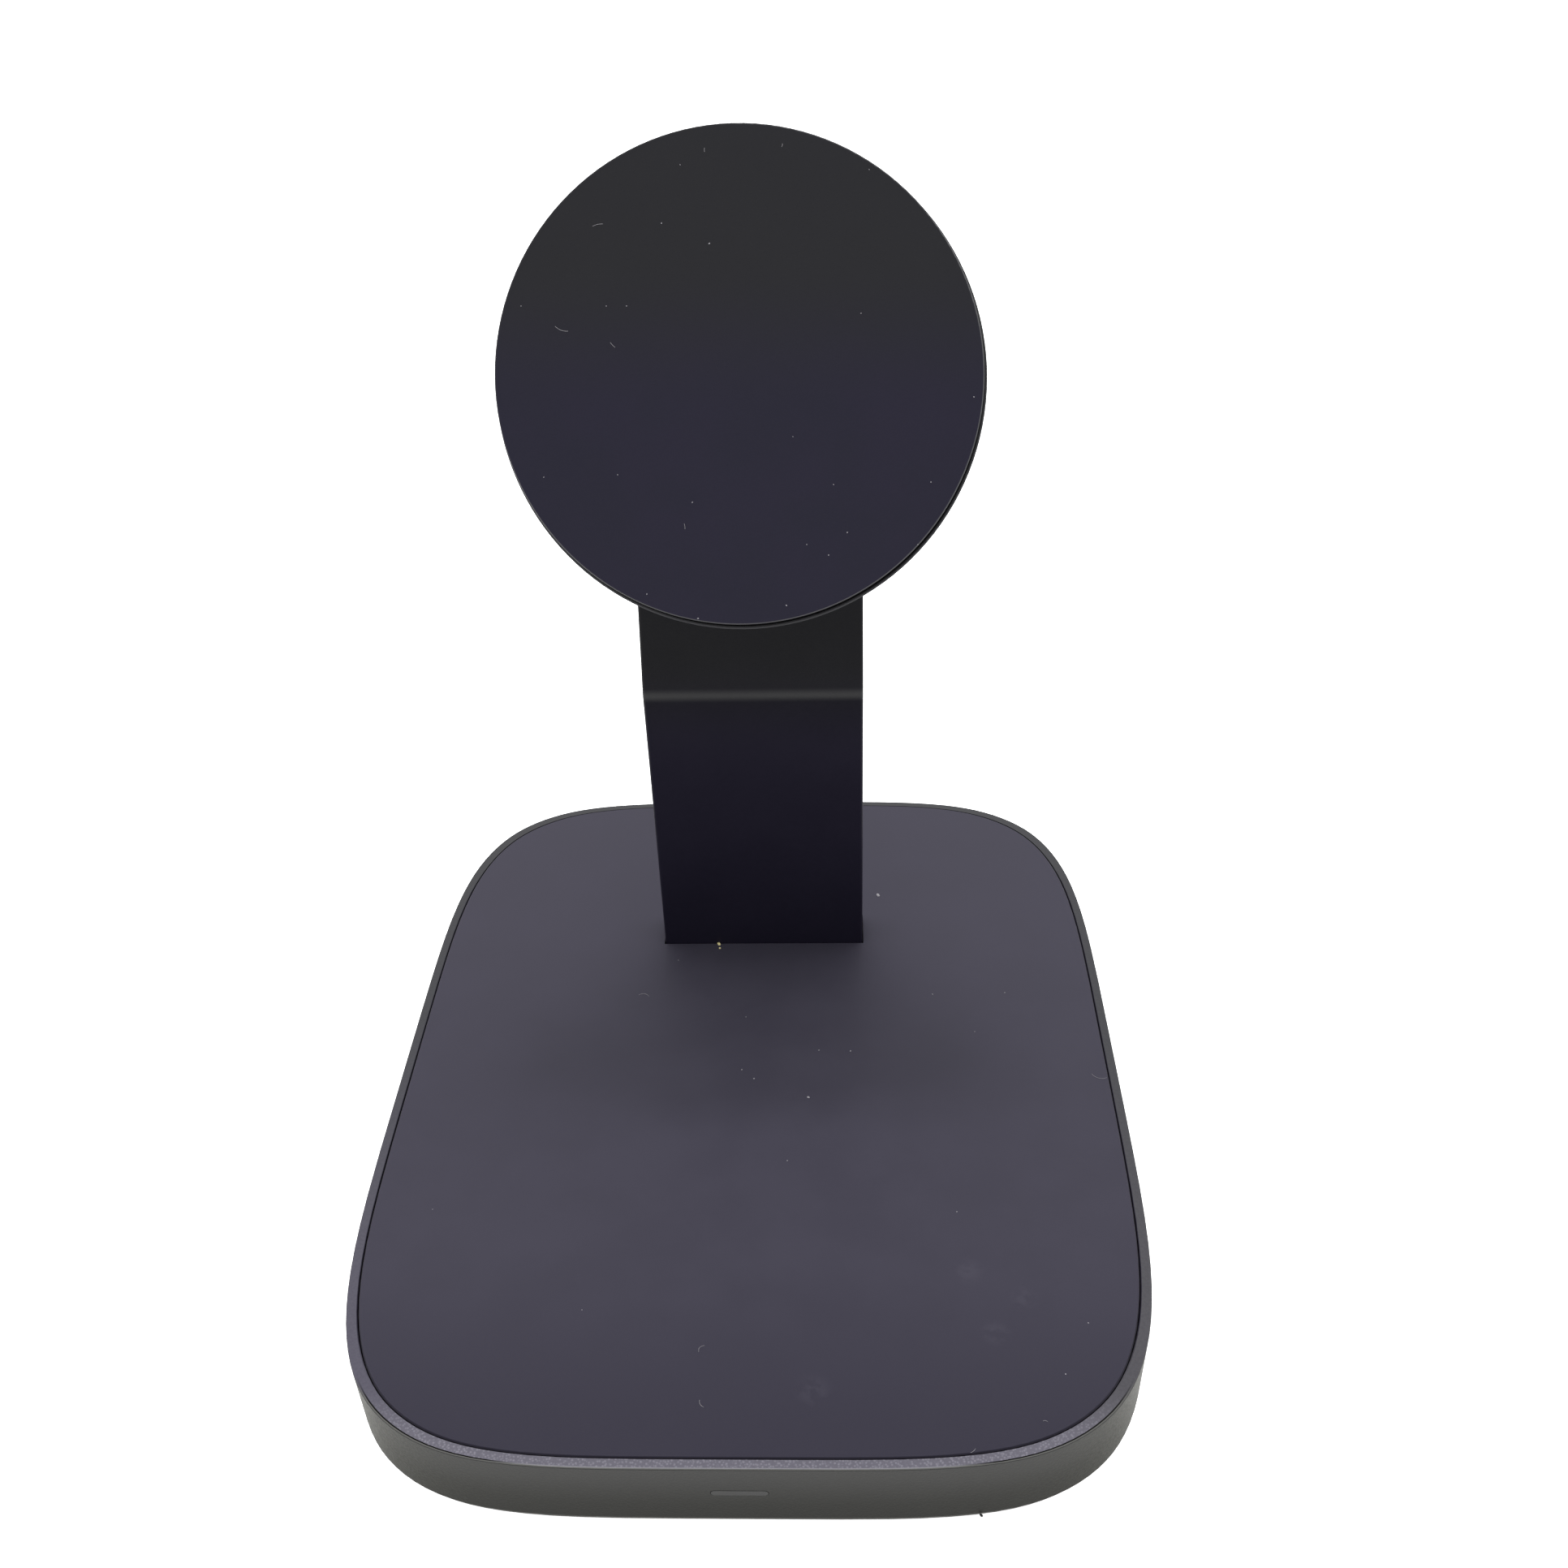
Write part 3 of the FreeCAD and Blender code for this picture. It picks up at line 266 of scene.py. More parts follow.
HEAD_DARK = srgb(25, 24, 36)
HEAD_LIGHT = srgb(27, 25, 38)
HEAD_TOP_TONE = srgb(27, 27, 30)
HEAD_FADE_LOW = HEAD_PLANE[0].z - 4 * MM
HEAD_FADE_HIGH = HEAD_PLANE[0].z + 12 * MM
FACE_RADIUS = 28.0 * MM
BEVEL_DEPTH = 0.3 * MM
# Painted highlight round the face's bevel
BEVEL_HIGHLIGHT_TONE = srgb(62, 62, 64)
RING_INSIDE = FACE_RADIUS - 0.12 * MM
RING_OUTSIDE = FACE_RADIUS - 0.03 * MM
RING_SOFT = 0.03 * MM


def soft_skin(name, dark, light, smooth, dull):
    """Soft touch skin, with a very fine grain and faint clouds."""
    finish = Finish(name, Specular_IOR_Level=0.09, Sheen_Weight=0.03, Sheen_Roughness=0.6)
    clouds = finish.noise(grain=9.0, detail=3.0)
    grain = finish.noise(grain=0.12)
    finish.colour(finish.mottle(clouds, dark, light))
    finish.rough(clouds, smooth, dull)
    return finish.bump(grain, depth=0.02, strength=0.35)


def pad_skin():
    """The base's skin, with painted shade in front and down its edge, and a few faint hand marks."""
    finish = soft_skin("pad_skin", PAD_DARK, PAD_LIGHT, smooth=0.58, dull=0.66)
    # Painted shade towards the front
    in_front = finish.span(finish.coordinate("Y"), PAD_FADE_BACK, PAD_FADE_FRONT)
    face = finish.mix(in_front, finish.tone, PAD_FRONT_SHADE)
    marks = 0.0
    for pixel, radius in SMUDGES:
        away = finish.from_point(on_plane(pixel, PAD_PLANE))
        marks = finish.calc("MAXIMUM", marks, finish.span(away, radius * MM, 0.0))
    patches = finish.span(finish.noise(grain=1.2), SMUDGE_LOW, SMUDGE_HIGH)
    share = finish.calc("MULTIPLY", finish.calc("MULTIPLY", marks, patches), SMUDGE_SHARE)
    marked = finish.mix(share, face, SMUDGE_TONE)
    # Painted shade down the skin's edge, below its top
    on_top = finish.span(finish.coordinate("Z"), PAD_EDGE_LOW, PAD_EDGE_HIGH)
    return finish.colour(finish.mix(on_top, PAD_EDGE_SHADE, marked))


def head_skin():
    """The head's skin, a little bluer towards its lower edge, with a painted highlight round its bevel.
    """
    finish = soft_skin("head_skin", HEAD_DARK, HEAD_LIGHT, smooth=0.60, dull=0.68)
    rise = finish.span(finish.coordinate("Z"), HEAD_FADE_LOW, HEAD_FADE_HIGH)
    face = finish.mix(rise, finish.tone, HEAD_TOP_TONE)
    # Painted highlight on the bevel
    ring = finish.band(finish.from_axis(*HEAD_PLANE), RING_INSIDE, RING_OUTSIDE, RING_SOFT)
    on_bevel = finish.span(finish.along_axis(*HEAD_PLANE), -BEVEL_DEPTH, -BEVEL_DEPTH / 2)
    return finish.colour(finish.mix(finish.calc("MULTIPLY", ring, on_bevel), face, BEVEL_HIGHLIGHT_TONE))


# Side frame of the base: heights on its wall and rim, and depths where its painted reflection and shade
# change

FINE_LOW = 0.35
FINE_HIGH = 0.65
EDGE_TINT = (0.69, 0.69, 0.66, 1.0)

# Painted shade: the wall darkens from its rim down towards its foot
WALL_SHADE_HEIGHT = WALL_FOOT + 2.8 * MM
WALL_LOW_SHADE_TONES = (srgb(45, 45, 44), srgb(48, 48, 47))
WALL_HIGH_TONES = (srgb(56, 56, 56), srgb(60, 60, 60))

# Painted shade on the rim's outer edge down to the wall, in front
RIM_EDGE_HIGH = RIM_TOP - 0.08 * MM
RIM_EDGE_LOW = RIM_TOP - 0.11 * MM
RIM_EDGE_SHADE_TONE = srgb(82, 82, 80)
TRIM_BACK = -49 * MM
TRIM_FRONT = -53 * MM

# Painted highlight along the rim's outer edge at the front, and a painted shade line at the front
# corners
LINE_HIGH = RIM_TOP - 0.065 * MM
LINE_LOW = RIM_TOP - 0.0715 * MM
LINE_SOFT = 0.002 * MM
LINE_FADE_BACK = -59.5 * MM
LINE_FADE_FRONT = -60.2 * MM
LINE_SHADE_TONE = srgb(12, 12, 12)
LINE_HIGHLIGHT_TONE = srgb(114, 113, 118)

# Painted reflection on the rim's flat: bright along the front, dimmer along the sides and dimmest at
# the back, the left a little lighter and bluer than the right
RIM_SIDE = 40 * MM
RIM_FADE_BACK = 15 * MM
RIM_FADE_MIDDLE = -50 * MM
RIM_FADE_FRONT = -58 * MM
RIM_BACK_REFLECTION_TONES = (srgb(56, 56, 59), srgb(61, 61, 64))
RIM_LEFT_REFLECTION_TONES = (srgb(72, 70, 80), srgb(78, 76, 86))
RIM_RIGHT_REFLECTION_TONES = (srgb(66, 65, 69), srgb(72, 71, 75))
RIM_FRONT_REFLECTION_TONES = (srgb(111, 109, 118), srgb(90, 88, 97))
SPARKLE_NEAR = 0.1
SPARKLE_FAR = 0.6

# Painted shade in the groove beside the pad, along the sides
GROOVE_LOW = RIM_TOP - 0.006 * MM
GROOVE_FRONT = -42 * MM
GROOVE_BACK = 36 * MM
GROOVE_FADE = 10 * MM
GROOVE_SHADE_TONE = srgb(28, 26, 36)


def frame_metal():
    """Blasted and anodised metal, with a cut rim that sparkles along the front, and painted reflection
    and shade.

    The rim falls a little from its inner edge to its outer one. So its heights tell apart the painted
    shade in the groove beside the pad, the flat with its painted reflection, the painted highlight line
    in front and painted shade line at the front corners, and the painted shade on the edge to the wall.
    The wall has painted shade towards its foot.
    """
    finish = Finish("frame_metal", Metallic=0.85, Specular_IOR_Level=0.1, Specular_Tint=EDGE_TINT)
    sparkle = finish.cells(grain=0.3)
    grain = finish.noise(grain=0.3, detail=4.0)
    fine = finish.span(grain, FINE_LOW, FINE_HIGH)
    across = finish.coordinate("X")
    depth = finish.coordinate("Y")
    height = finish.coordinate("Z")

    # Painted shade towards the wall's foot
    wall_shaded = finish.mix(fine, *WALL_LOW_SHADE_TONES)
    wall_high = finish.mix(fine, *WALL_HIGH_TONES)
    wall = finish.mix(finish.span(height, WALL_SHADE_HEIGHT, RIM_TOP), wall_shaded, wall_high)
    # Painted shade on the rim's outer edge
    on_top = finish.span(height, RIM_EDGE_LOW, RIM_EDGE_HIGH)
    outside = finish.mix(on_top, wall, RIM_EDGE_SHADE_TONE)

    # Painted highlight in front, painted shade line at the front corners
    foremost = finish.span(depth, LINE_FADE_BACK, LINE_FADE_FRONT)
    line = finish.mix(foremost, LINE_SHADE_TONE, LINE_HIGHLIGHT_TONE)
    on_line = finish.span(height, LINE_LOW - LINE_SOFT, LINE_LOW)
    lined = finish.mix(on_line, outside, line)

    # Painted reflection on the rim's flat, side by side, over the real sparkle in front
    back = finish.mix(fine, *RIM_BACK_REFLECTION_TONES)
    left = finish.mix(fine, *RIM_LEFT_REFLECTION_TONES)
    right = finish.mix(fine, *RIM_RIGHT_REFLECTION_TONES)
    sides = finish.mix(finish.span(across, -RIM_SIDE, RIM_SIDE), left, right)
    front = finish.mix(finish.span(sparkle, SPARKLE_NEAR, SPARKLE_FAR), *RIM_FRONT_REFLECTION_TONES)
    midway = finish.span(depth, RIM_FADE_BACK, RIM_FADE_MIDDLE)
    in_front = finish.span(depth, RIM_FADE_MIDDLE, RIM_FADE_FRONT)
    cut = finish.mix(in_front, finish.mix(midway, back, sides), front)

    # Painted shade in the groove beside the pad
    by_pad = finish.span(height, GROOVE_LOW - LINE_SOFT, GROOVE_LOW)
    at_sides = finish.band(depth, GROOVE_FRONT, GROOVE_BACK, GROOVE_FADE)
    flat = finish.mix(finish.calc("MULTIPLY", by_pad, at_sides), cut, GROOVE_SHADE_TONE)

    inside_line = finish.span(height, LINE_HIGH, LINE_HIGH + LINE_SOFT)
    unlined = finish.calc("MULTIPLY", on_top, finish.span(depth, TRIM_FRONT, TRIM_BACK))
    on_flat = finish.calc("MAXIMUM", inside_line, unlined)
    finish.colour(finish.mix(on_flat, lined, flat))
    finish.rough(grain, low=0.42, high=0.52)
    return finish.bump(finish.calc("ADD", grain, sparkle), depth=0.02, strength=0.5)


# Arm

ARM_BEND = RIM_TOP + 43.9 * MM
ARM_FADE_LOW = ARM_BEND - 10 * MM
ARM_FADE_HIGH = ARM_BEND + 6 * MM
ARM_LOW_TONES = (srgb(20, 18, 29), srgb(22, 20, 31))
ARM_HIGH_TONES = (srgb(12, 12, 15), srgb(14, 14, 17))
BEND_HALF = 1.1 * MM
# Painted highlight along the arm's bend
BEND_HIGHLIGHT_TONE = srgb(46, 46, 47)


def arm_metal():
    """Fine dark powder coat, bluer below the bend, with a painted highlight along it."""
    finish = Finish("arm_metal", Specular_IOR_Level=0.09)
    grain = finish.noise(grain=0.16, detail=3.0)
    clouds = finish.noise(grain=12.0)
    height = finish.coordinate("Z")
    low = finish.mottle(clouds, *ARM_LOW_TONES)
    high = finish.mottle(clouds, *ARM_HIGH_TONES)
    coat = finish.mix(finish.span(height, ARM_FADE_LOW, ARM_FADE_HIGH), low, high)
    # Painted highlight along the bend
    from_bend = finish.calc("ABSOLUTE", finish.calc("SUBTRACT", height, ARM_BEND))
    finish.colour(finish.mix(finish.span(from_bend, BEND_HALF, 0.0), coat, BEND_HIGHLIGHT_TONE))
    finish.rough(grain, low=0.42, high=0.52)
    return finish.bump(grain, depth=0.02, strength=0.5)


# Plastics and rubber

SHELL_DARK = srgb(20, 20, 22)
SHELL_LIGHT = srgb(24, 24, 26)
CUP_INSIDE = 28.32 * MM
# Painted highlight on the cup's rim
CUP_RIM_INSIDE = CUP_INSIDE + 0.12 * MM
CUP_RIM_OUTSIDE = CUP_INSIDE + 0.4 * MM
CUP_RIM_SOFT = 0.02 * MM
CUP_RIM_HIGHLIGHT_TONE = srgb(50, 50, 52)
RUBBER_DARK = srgb(30, 30, 32)
RUBBER_LIGHT = srgb(38, 38, 40)
PLASTICS = {
    "inner_plastic": {"dark": srgb(26, 26, 28), "light": srgb(30, 30, 32)},
    "cover_plastic": {"dark": srgb(34, 34, 37), "light": srgb(38, 38, 42)},
}


def moulded(name, dark, light, texture=0.25, gloss=0.3):
    """Moulded plastic with a spark eroded texture."""
    finish = Finish(name, Specular_IOR_Level=gloss)
    grain = finish.noise(texture, detail=3.0)
    clouds = finish.noise(grain=14.0)
    finish.colour(finish.mottle(clouds, dark, light))
    finish.rough(grain, low=0.42, high=0.56)
    return finish.bump(grain, depth=0.03, strength=0.5)


def head_shell():
    """The head's cup, dark behind, with a painted highlight on its rim."""
    finish = moulded("head_shell", SHELL_DARK, SHELL_LIGHT, texture=0.15, gloss=0.15)
    # Painted highlight on the rim
    rim = finish.band(finish.from_axis(*HEAD_PLANE), CUP_RIM_INSIDE, CUP_RIM_OUTSIDE, CUP_RIM_SOFT)
    return finish.colour(finish.mix(rim, finish.tone, CUP_RIM_HIGHLIGHT_TONE))


def foot_rubber():
    """Dull rubber with a pebbled face."""
    finish = Finish("foot_rubber", Specular_IOR_Level=0.25)
    pebbles = finish.cells(grain=0.7)
    clouds = finish.noise(grain=8.0, detail=3.0)
    finish.colour(finish.mottle(clouds, RUBBER_DARK, RUBBER_LIGHT))
    finish.rough(clouds, low=0.75, high=0.88)
    return finish.bump(pebbles, depth=0.08, strength=0.8)


# Bare metals

BARE_METALS = {
    "steel": {
        "dark": srgb(150, 150, 152), "light": srgb(176, 176, 178), "smooth": 0.25, "dull": 0.38},
    "socket_steel": {
        "dark": srgb(168, 168, 170), "light": srgb(190, 190, 192), "smooth": 0.2, "dull": 0.3},
    "ballast": {
        "dark": srgb(96, 96, 98), "light": srgb(128, 127, 124), "smooth": 0.45, "dull": 0.6,
        "scratch": 0.5},
    "magnet": {
        "dark": srgb(178, 176, 170), "light": srgb(198, 196, 190), "smooth": 0.18, "dull": 0.28},
}


def bare_metal(name, dark, light, smooth, dull, scratch=0.2):
    """Plain metal with fine scratches and stains."""
    finish = Finish(name, Metallic=1.0)
    stains = finish.noise(grain=3.0, detail=4.0)
    finish.colour(finish.mottle(stains, dark, light))
    finish.rough(stains, smooth, dull)
    return finish.bump(finish.noise(scratch), depth=0.01, strength=0.5)


# Boards, coils, chips, ferrite and cables

TRACK_PITCH = 9.0 * MM
TRACK_WIDTH = 0.03
TRACK_TONE = srgb(30, 84, 58)
MASK_TONE = srgb(18, 60, 42)
SOLDER_NEAR = 0.16
SOLDER_FAR = 0.20
SOLDER_TONE = srgb(190, 186, 170)
WIRE_PITCH = 0.7 * MM
WIRE_DARK = srgb(168, 94, 56)
WIRE_LIGHT = srgb(196, 118, 74)
# Painted shade between the turns of wire
WIRE_GAP_SHADE = srgb(92, 46, 26)
WIRE_GAP_LOW = -0.9
WIRE_GAP_HIGH = -0.2
GRAINY = {
    "chip": {
        "dark": srgb(22, 22, 24), "light": srgb(32, 32, 34), "size": 0.1, "detail": 3.0,
        "gloss": 0.35, "smooth": 0.5, "dull": 0.7, "depth": 0.01},
    "ferrite": {
        "dark": srgb(46, 46, 50), "light": srgb(66, 66, 70), "size": 0.5, "detail": 4.0,
        "gloss": 0.4, "smooth": 0.4, "dull": 0.6, "depth": 0.03},
    "cable": {
        "dark": srgb(24, 24, 26), "light": srgb(32, 32, 34), "size": 0.3, "detail": 2.0,
        "gloss": 0.4, "smooth": 0.4, "dull": 0.55, "depth": 0.02},
}


def board():
    """Solder mask over copper tracks, with bright pads."""
    finish = Finish("board", Specular_IOR_Level=0.5)
    tracks = finish.add("ShaderNodeTexBrick", {
        "Vector": finish.place, "Scale": 1 / TRACK_PITCH, "Mortar Size": TRACK_WIDTH}).outputs["Fac"]
    pads = finish.span(finish.cells(grain=2.6), SOLDER_NEAR, SOLDER_FAR, 1.0, 0.0)
    mask = finish.mix(tracks, MASK_TONE, TRACK_TONE)
    finish.colour(finish.mix(pads, mask, SOLDER_TONE))
    finish.rough(finish.noise(grain=1.0), low=0.3, high=0.42)
    return finish.bump(finish.calc("ADD", tracks, pads), depth=0.03, strength=0.6)


def copper():
    """Turns of enamelled wire, wound about both coils' axes, with painted shade between the turns."""
    finish = Finish("copper", Metallic=1.0)
    from_pad = finish.from_axis(PAD_COIL, PAD_PLANE[1])
    from_head = finish.from_axis(*HEAD_PLANE)
    nearest = finish.calc("MINIMUM", from_pad, from_head)
    turns = finish.calc("SINE", finish.calc("MULTIPLY", nearest, math.tau / WIRE_PITCH))
    stains = finish.noise(grain=0.8, detail=3.0)
    wire = finish.mottle(stains, WIRE_DARK, WIRE_LIGHT)
    # Painted shade between the turns
    finish.colour(finish.mix(finish.span(turns, WIRE_GAP_LOW, WIRE_GAP_HIGH), WIRE_GAP_SHADE, wire))
    finish.rough(stains, low=0.25, high=0.4)
    return finish.bump(turns, depth=0.06, strength=0.8)


def grainy(name, dark, light, size, detail, gloss, smooth, dull, depth):
    """Plain dull surface with one grain for its tone, its roughness and its relief."""
    finish = Finish(name, Specular_IOR_Level=gloss)
    grain = finish.noise(size, detail)
    finish.colour(finish.mottle(grain, dark, light))
    finish.rough(grain, smooth, dull)
    return finish.bump(grain, depth, strength=0.5)


# Status light

LIGHT_DARK = srgb(36, 36, 36)
LIGHT_PALE = srgb(40, 40, 39)
# Painted shade at the light guide's ends and foot, where it meets its slot
SLOT_SHADE_TONE = srgb(16, 16, 16)
END_INSIDE = LIGHT_HIGH.x - 0.3 * MM
END_OUTSIDE = LIGHT_HIGH.x - 0.15 * MM
FOOT_INSIDE = LIGHT_LOW.z + 0.2 * MM
FOOT_OUTSIDE = LIGHT_LOW.z + 0.08 * MM


def light():
    """Smoky light guide of the status light, with painted shade where it meets its slot."""
    finish = Finish("light", Specular_IOR_Level=0.2)
    clouds = finish.noise(grain=0.8)
    aside = finish.calc("ABSOLUTE", finish.coordinate("X"))
    at_end = finish.span(aside, END_INSIDE, END_OUTSIDE)
    at_foot = finish.span(finish.coordinate("Z"), FOOT_INSIDE, FOOT_OUTSIDE)
    glass = finish.mottle(clouds, LIGHT_DARK, LIGHT_PALE)
    # Painted shade at the ends and foot
    finish.colour(finish.mix(finish.calc("MAXIMUM", at_end, at_foot), glass, SLOT_SHADE_TONE))
    finish.rough(clouds, low=0.4, high=0.5)
    return finish.bump(clouds, depth=0.01, strength=0.3)


# Finishes on the CAD nodes

FINISHES = {
    "frame_metal": frame_metal, "arm_metal": arm_metal, "pad_skin": pad_skin, "head_skin": head_skin,
    "head_shell": head_shell, "foot_rubber": foot_rubber, "board": board, "copper": copper,
    "light": light,
}
FAMILIES = ((moulded, PLASTICS), (bare_metal, BARE_METALS), (grainy, GRAINY))


def dress_nodes():
    """Give each CAD node the finish of its slot in the record."""
    made = {slot: make().material for slot, make in FINISHES.items()}
    for make, members in FAMILIES:
        made.update({slot: make(slot, **look).material for slot, look in members.items()})
    for entry in frame["record"]["subparts"]:
        mesh = nodes[entry["node"]].data
        mesh.materials.clear()
        mesh.materials.append(made[entry["material_slot"]])


# Dust where the photograph shows it: a crumb's pixel and size in millimetres, or a thread's two pixels

PAD_CRUMBS = (
    ((1082, 1103), 0.8), ((836, 1183), 0.16), ((919, 1253), 0.14), ((1009, 1294), 0.20),
    ((1048, 1295), 0.22), ((914, 1318), 0.18), ((929, 1329), 0.20), ((996, 1352), 0.40),
    ((970, 1430), 0.15), ((1149, 1225), 0.20), ((1238, 1223), 0.16), ((1201, 1271), 0.14),
    ((533, 1490), 0.12), ((717, 1614), 0.12), ((1179, 1493), 0.14), ((1341, 1630), 0.16),
    ((1313, 1693), 0.16),
)
PAD_THREADS = (
    ((787, 1226), (800, 1228)), ((1345, 1323), (1364, 1328)), ((861, 1666), (868, 1658)),
    ((862, 1725), (867, 1734)), ((1196, 1790), (1202, 1785)), ((1285, 1751), (1291, 1752)),
)
HEAD_CRUMBS = (
    ((838, 203), 0.14), ((815, 275), 0.16), ((874, 300), 0.20), ((642, 377), 0.12),
    ((747, 377), 0.12), ((772, 377), 0.12), ((1061, 386), 0.12), ((1200, 489), 0.16),
    ((977, 538), 0.10), ((1027, 597), 0.16), ((1147, 594), 0.14), ((853, 619), 0.16),
    ((670, 588), 0.12), ((761, 585), 0.12), ((1044, 656), 0.14), ((994, 671), 0.12),
    ((1021, 684), 0.14), ((1131, 671), 0.14), ((969, 746), 0.20), ((797, 732), 0.16),
    ((860, 762), 0.20), ((1071, 209), 0.12),
)
HEAD_THREADS = (
    ((730, 279), (743, 276)), ((684, 402), (700, 408)), ((752, 422), (758, 428)),
    ((843, 645), (844, 652)), ((868, 182), (868, 187)), ((964, 177), (963, 181)),
)
ARM_CRUMBS = (((886, 1163), 0.8), ((887, 1168), 0.4))
FOOT_CRUMBS = (((1209, 1867), 0.6),)
FOOT_PLANE = (Vector((0, -59.95 * MM, 0)), Vector((0, -1, 0)))

DUST_SEED = 7
SPECK_DETAIL = 2
SPECK_NARROWEST = 0.25
SPECK_WIDEST = 0.45
SPECK_FLAT = 0.18
SPECK_UNEVEN = 0.2
THREAD_BOW = 0.3
THREAD_RADIUS = 0.018 * MM
THREAD_STEPS = 8
THREAD_SIDES = 6
LINT_DARK = srgb(112, 111, 116)
LINT_LIGHT = srgb(152, 150, 153)
CRUMB_DARK = srgb(170, 158, 96)
CRUMB_LIGHT = srgb(226, 216, 170)
GRIT_DARK = srgb(12, 12, 10)
GRIT_LIGHT = srgb(24, 24, 22)


def dusty(name, dark, light, grain, gloss, dull):
    """Plain finish of loose dust."""
    finish = Finish(name, Specular_IOR_Level=gloss, Roughness=dull)
    return finish.colour(finish.mix(finish.noise(grain), dark, light))


def add_speck(mesh, place, normal, size, dice):
    """Rough flattened ball that lies on a plane."""
    turn = normal.to_track_quat("Z", "Y").to_matrix().to_4x4()
    spin = Matrix.Rotation(dice.uniform(0, math.tau), 4, "Z")
    width = size * dice.uniform(SPECK_NARROWEST, SPECK_WIDEST)
    shape = Matrix.Diagonal((size / 2, width, size * SPECK_FLAT, 1))
    ball = bmesh.ops.create_icosphere(mesh, subdivisions=SPECK_DETAIL, radius=1.0)
    for vertex in ball["verts"]:
        rough = vertex.co * dice.uniform(1 - SPECK_UNEVEN, 1 + SPECK_UNEVEN)
        vertex.co = Matrix.Translation(place) @ turn @ spin @ shape @ rough


def add_thread(mesh, first, last, normal, dice):
    """Thin bowed fibre that lies on a plane."""
    along = last - first
    side = normal.cross(along).normalized()
    bow = side * along.length * dice.uniform(-THREAD_BOW, THREAD_BOW)
    rings = []
    for step in range(THREAD_STEPS + 1):
        share = step / THREAD_STEPS
        arch = 4 * share * (1 - share)
        centre = first + along * share + bow * arch + normal * THREAD_RADIUS
        ring = []
        for corner in range(THREAD_SIDES):
            turn = math.tau * corner / THREAD_SIDES
            spoke = side * math.cos(turn) + normal * math.sin(turn)
            ring.append(mesh.verts.new(centre + spoke * THREAD_RADIUS))
        rings.append(ring)
    for near, far in zip(rings, rings[1:]):
        for index in range(THREAD_SIDES):
            after = (index + 1) % THREAD_SIDES
            mesh.faces.new((near[index], near[after], far[after], far[index]))
    mesh.faces.new(rings[0][::-1])
    mesh.faces.new(rings[-1])


def add_dust(name, body, plane, crumbs, threads, finish):
    """Dust on one plane, as one piece."""
    dice = random.Random(DUST_SEED)
    normal = plane[1].normalized()
    mesh = bmesh.new()
    for pixel, size in crumbs:
        add_speck(mesh, on_plane(pixel, plane), normal, size * MM, dice)
    for first, last in threads:
        add_thread(mesh, on_plane(first, plane), on_plane(last, plane), normal, dice)
    data = bpy.data.meshes.new(name)
    mesh.to_mesh(data)
    mesh.free()
    data.materials.append(finish.material)
    piece = bpy.data.objects.new(name, data)
    bpy.context.collection.objects.link(piece)
    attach(piece, body)


def add_all_dust():
    """Lint and crumbs on the base and the head, and one speck of grit at the foot."""
    lint = dusty("lint", LINT_DARK, LINT_LIGHT, grain=0.1, gloss=0.2, dull=0.8)
    crumb = dusty("crumb", CRUMB_DARK, CRUMB_LIGHT, grain=0.15, gloss=0.3, dull=0.7)
    grit = dusty("grit", GRIT_DARK, GRIT_LIGHT, grain=0.15, gloss=0.3, dull=0.8)
    add_dust("pad_lint", "stand", PAD_PLANE, PAD_CRUMBS, PAD_THREADS, lint)
    add_dust("arm_crumb", "stand", PAD_PLANE, ARM_CRUMBS, (), crumb)
    add_dust("foot_grit", "stand", FOOT_PLANE, FOOT_CRUMBS, (), grit)
    add_dust("head_lint", "head", HEAD_PLANE, HEAD_CRUMBS, HEAD_THREADS, lint)


# Studio and camera: radiance of the surroundings and of the floor, and the lamp's power in watts

BACK_LEVEL = 2.0
FRONT_LEVEL = 1.0
SIDE_LEVEL = 0.7
FADE_HALF = 0.6
FLOOR_GLOW = 0.75
FLOOR_SIDE = 6.0
FLOOR_DROP = 0.02 * MM
FLOOR_DARK = srgb(246, 246, 246)
FLOOR_LIGHT = srgb(250, 250, 250)
LAMP_PLACE = Vector((0, 150, 600)) * MM
LAMP_WIDTH = 80 * MM
LAMP_POWER = 1.1
SENSOR_WIDTH = 36.0


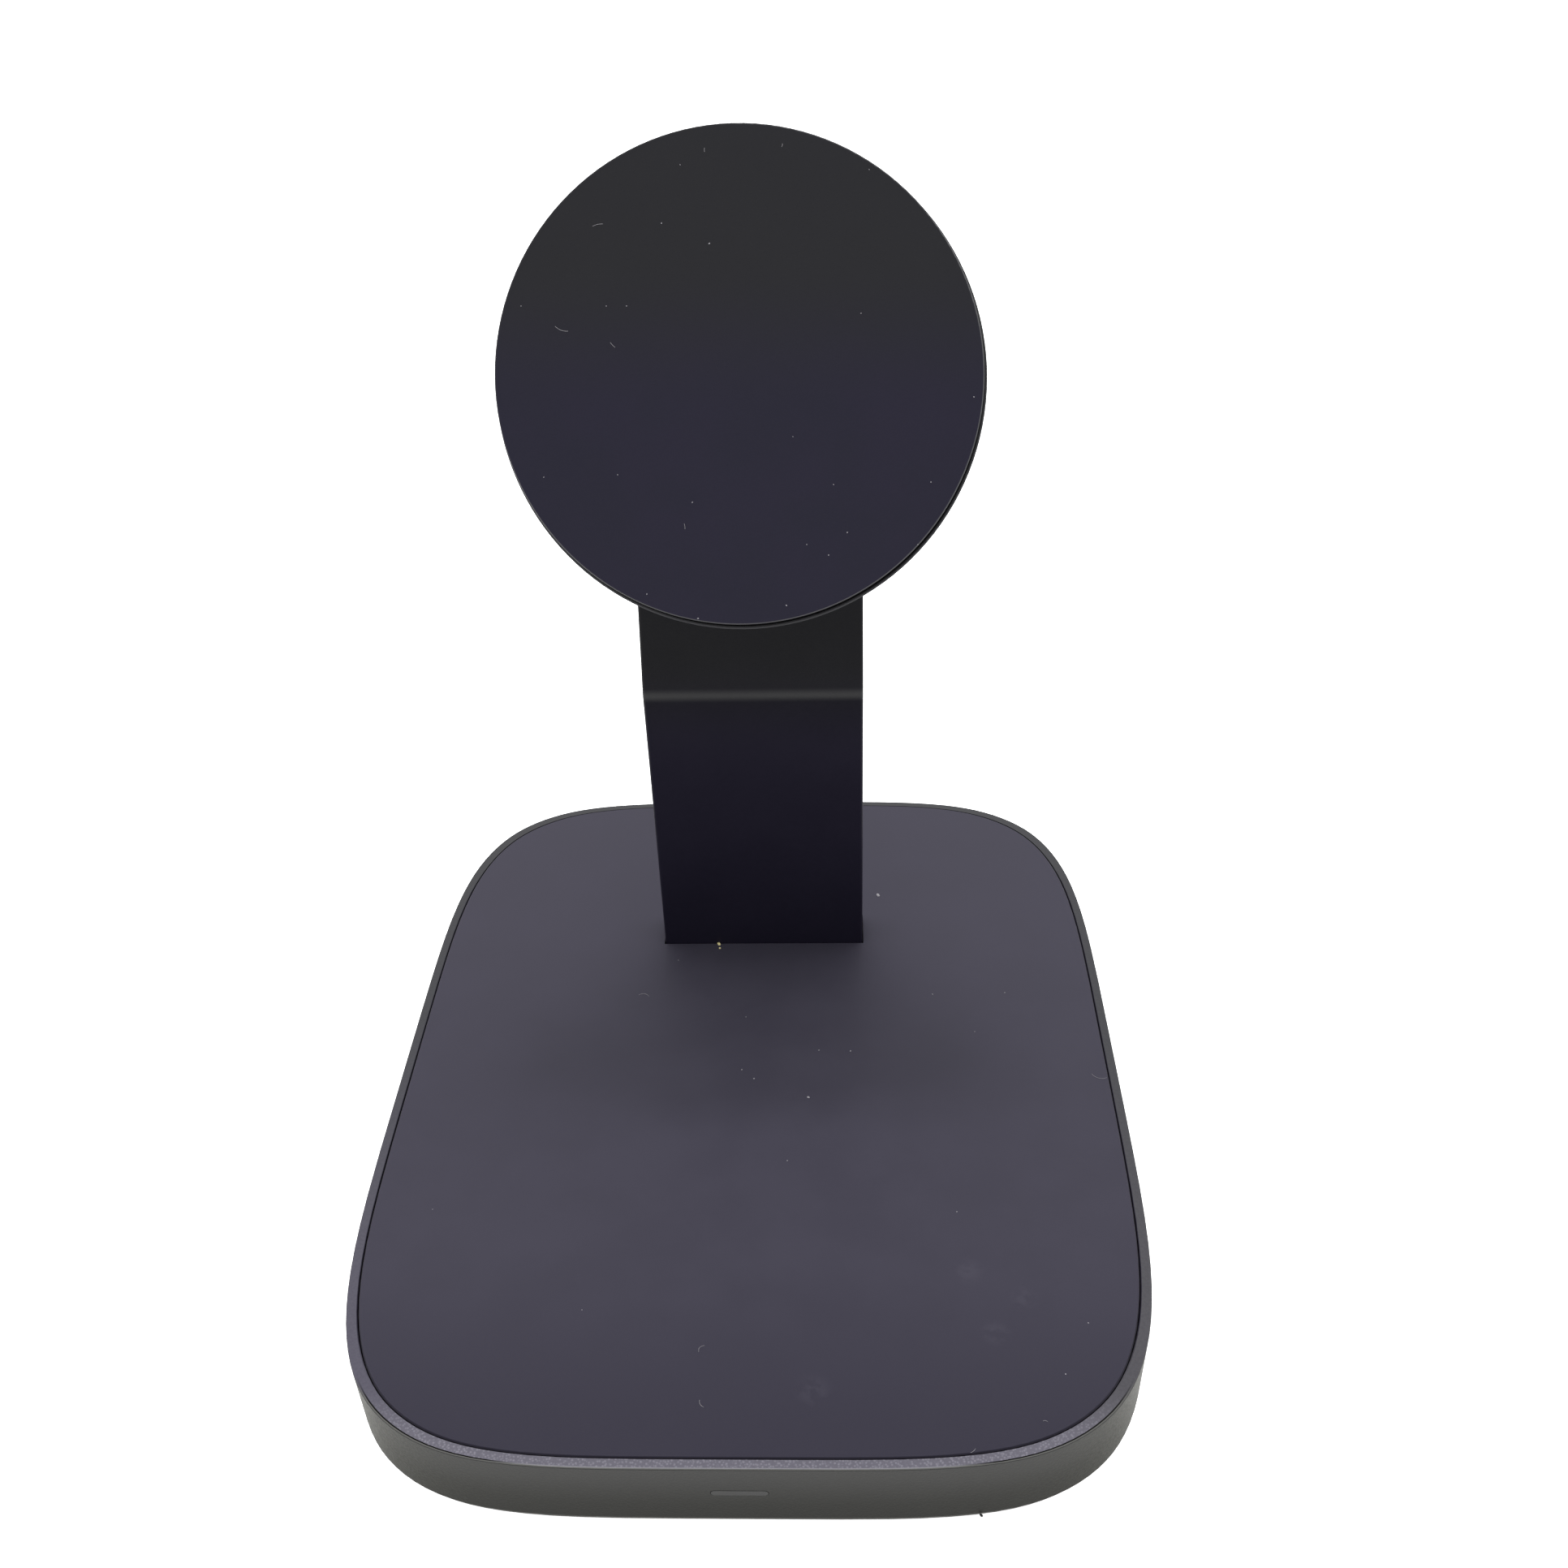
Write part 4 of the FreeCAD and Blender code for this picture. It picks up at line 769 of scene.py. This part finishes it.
def add_floor():
    """White floor under the stand, which glows a little."""
    half = FLOOR_SIDE / 2
    mesh = bpy.data.meshes.new("floor")
    corners = [(-half, -half, -FLOOR_DROP), (half, -half, -FLOOR_DROP),
               (half, half, -FLOOR_DROP), (-half, half, -FLOOR_DROP)]
    mesh.from_pydata(corners, [], [(0, 1, 2, 3)])
    floor = bpy.data.objects.new("floor", mesh)
    bpy.context.collection.objects.link(floor)
    finish = Finish("floor", Roughness=0.9, Specular_IOR_Level=0.1, Emission_Strength=FLOOR_GLOW,
                    Emission_Color=WHITE)
    finish.colour(finish.mix(finish.noise(grain=300.0), FLOOR_DARK, FLOOR_LIGHT))
    mesh.materials.append(finish.material)


def add_surroundings():
    """Soft light all around, bright behind and at both sides, and dim on the camera's side."""
    world = bpy.data.worlds.new("studio")
    bpy.context.scene.world = world
    world.use_nodes = True
    sky = Nodes(world.node_tree)
    direction = sky.add("ShaderNodeTexCoord").outputs["Generated"]
    split = sky.add("ShaderNodeSeparateXYZ", {"Vector": direction})
    fade = sky.span(split.outputs["Y"], -FADE_HALF, FADE_HALF, FRONT_LEVEL, BACK_LEVEL)
    square = sky.calc("MULTIPLY", split.outputs["X"], split.outputs["X"])
    background = world.node_tree.nodes["Background"]
    sky.feed(background.inputs["Strength"], sky.calc("MULTIPLY_ADD", square, SIDE_LEVEL, fade))
    sky.feed(background.inputs["Color"], WHITE)
    bpy.context.scene.view_settings.view_transform = "Standard"


def add_lamp():
    """Small soft light above and a little behind, which the head shades the pad from."""
    data = bpy.data.lights.new("lamp", "AREA")
    data.shape = "DISK"
    data.size = LAMP_WIDTH
    data.energy = LAMP_POWER
    lamp = bpy.data.objects.new("lamp", data)
    lamp.visible_glossy = False
    lamp.location = LAMP_PLACE
    lamp.rotation_mode = "QUATERNION"
    lamp.rotation_quaternion = (-LAMP_PLACE).to_track_quat("-Z", "Y")
    bpy.context.collection.objects.link(lamp)


def add_camera():
    """Camera on the photograph's line of sight."""
    right, down, forward = camera_axes()
    data = bpy.data.cameras.new("camera")
    data.sensor_fit = "HORIZONTAL"
    data.sensor_width = SENSOR_WIDTH
    data.lens = SENSOR_WIDTH * FOCAL_PIXELS / PHOTO_SIDE
    camera = bpy.data.objects.new("camera", data)
    turn = Matrix((right, -down, -forward)).transposed().to_4x4()
    camera.matrix_world = Matrix.Translation(CAMERA_PLACE) @ turn
    bpy.context.collection.objects.link(camera)
    bpy.context.scene.camera = camera


dress_nodes()
add_all_dust()
add_floor()
add_surroundings()
add_lamp()
add_camera()
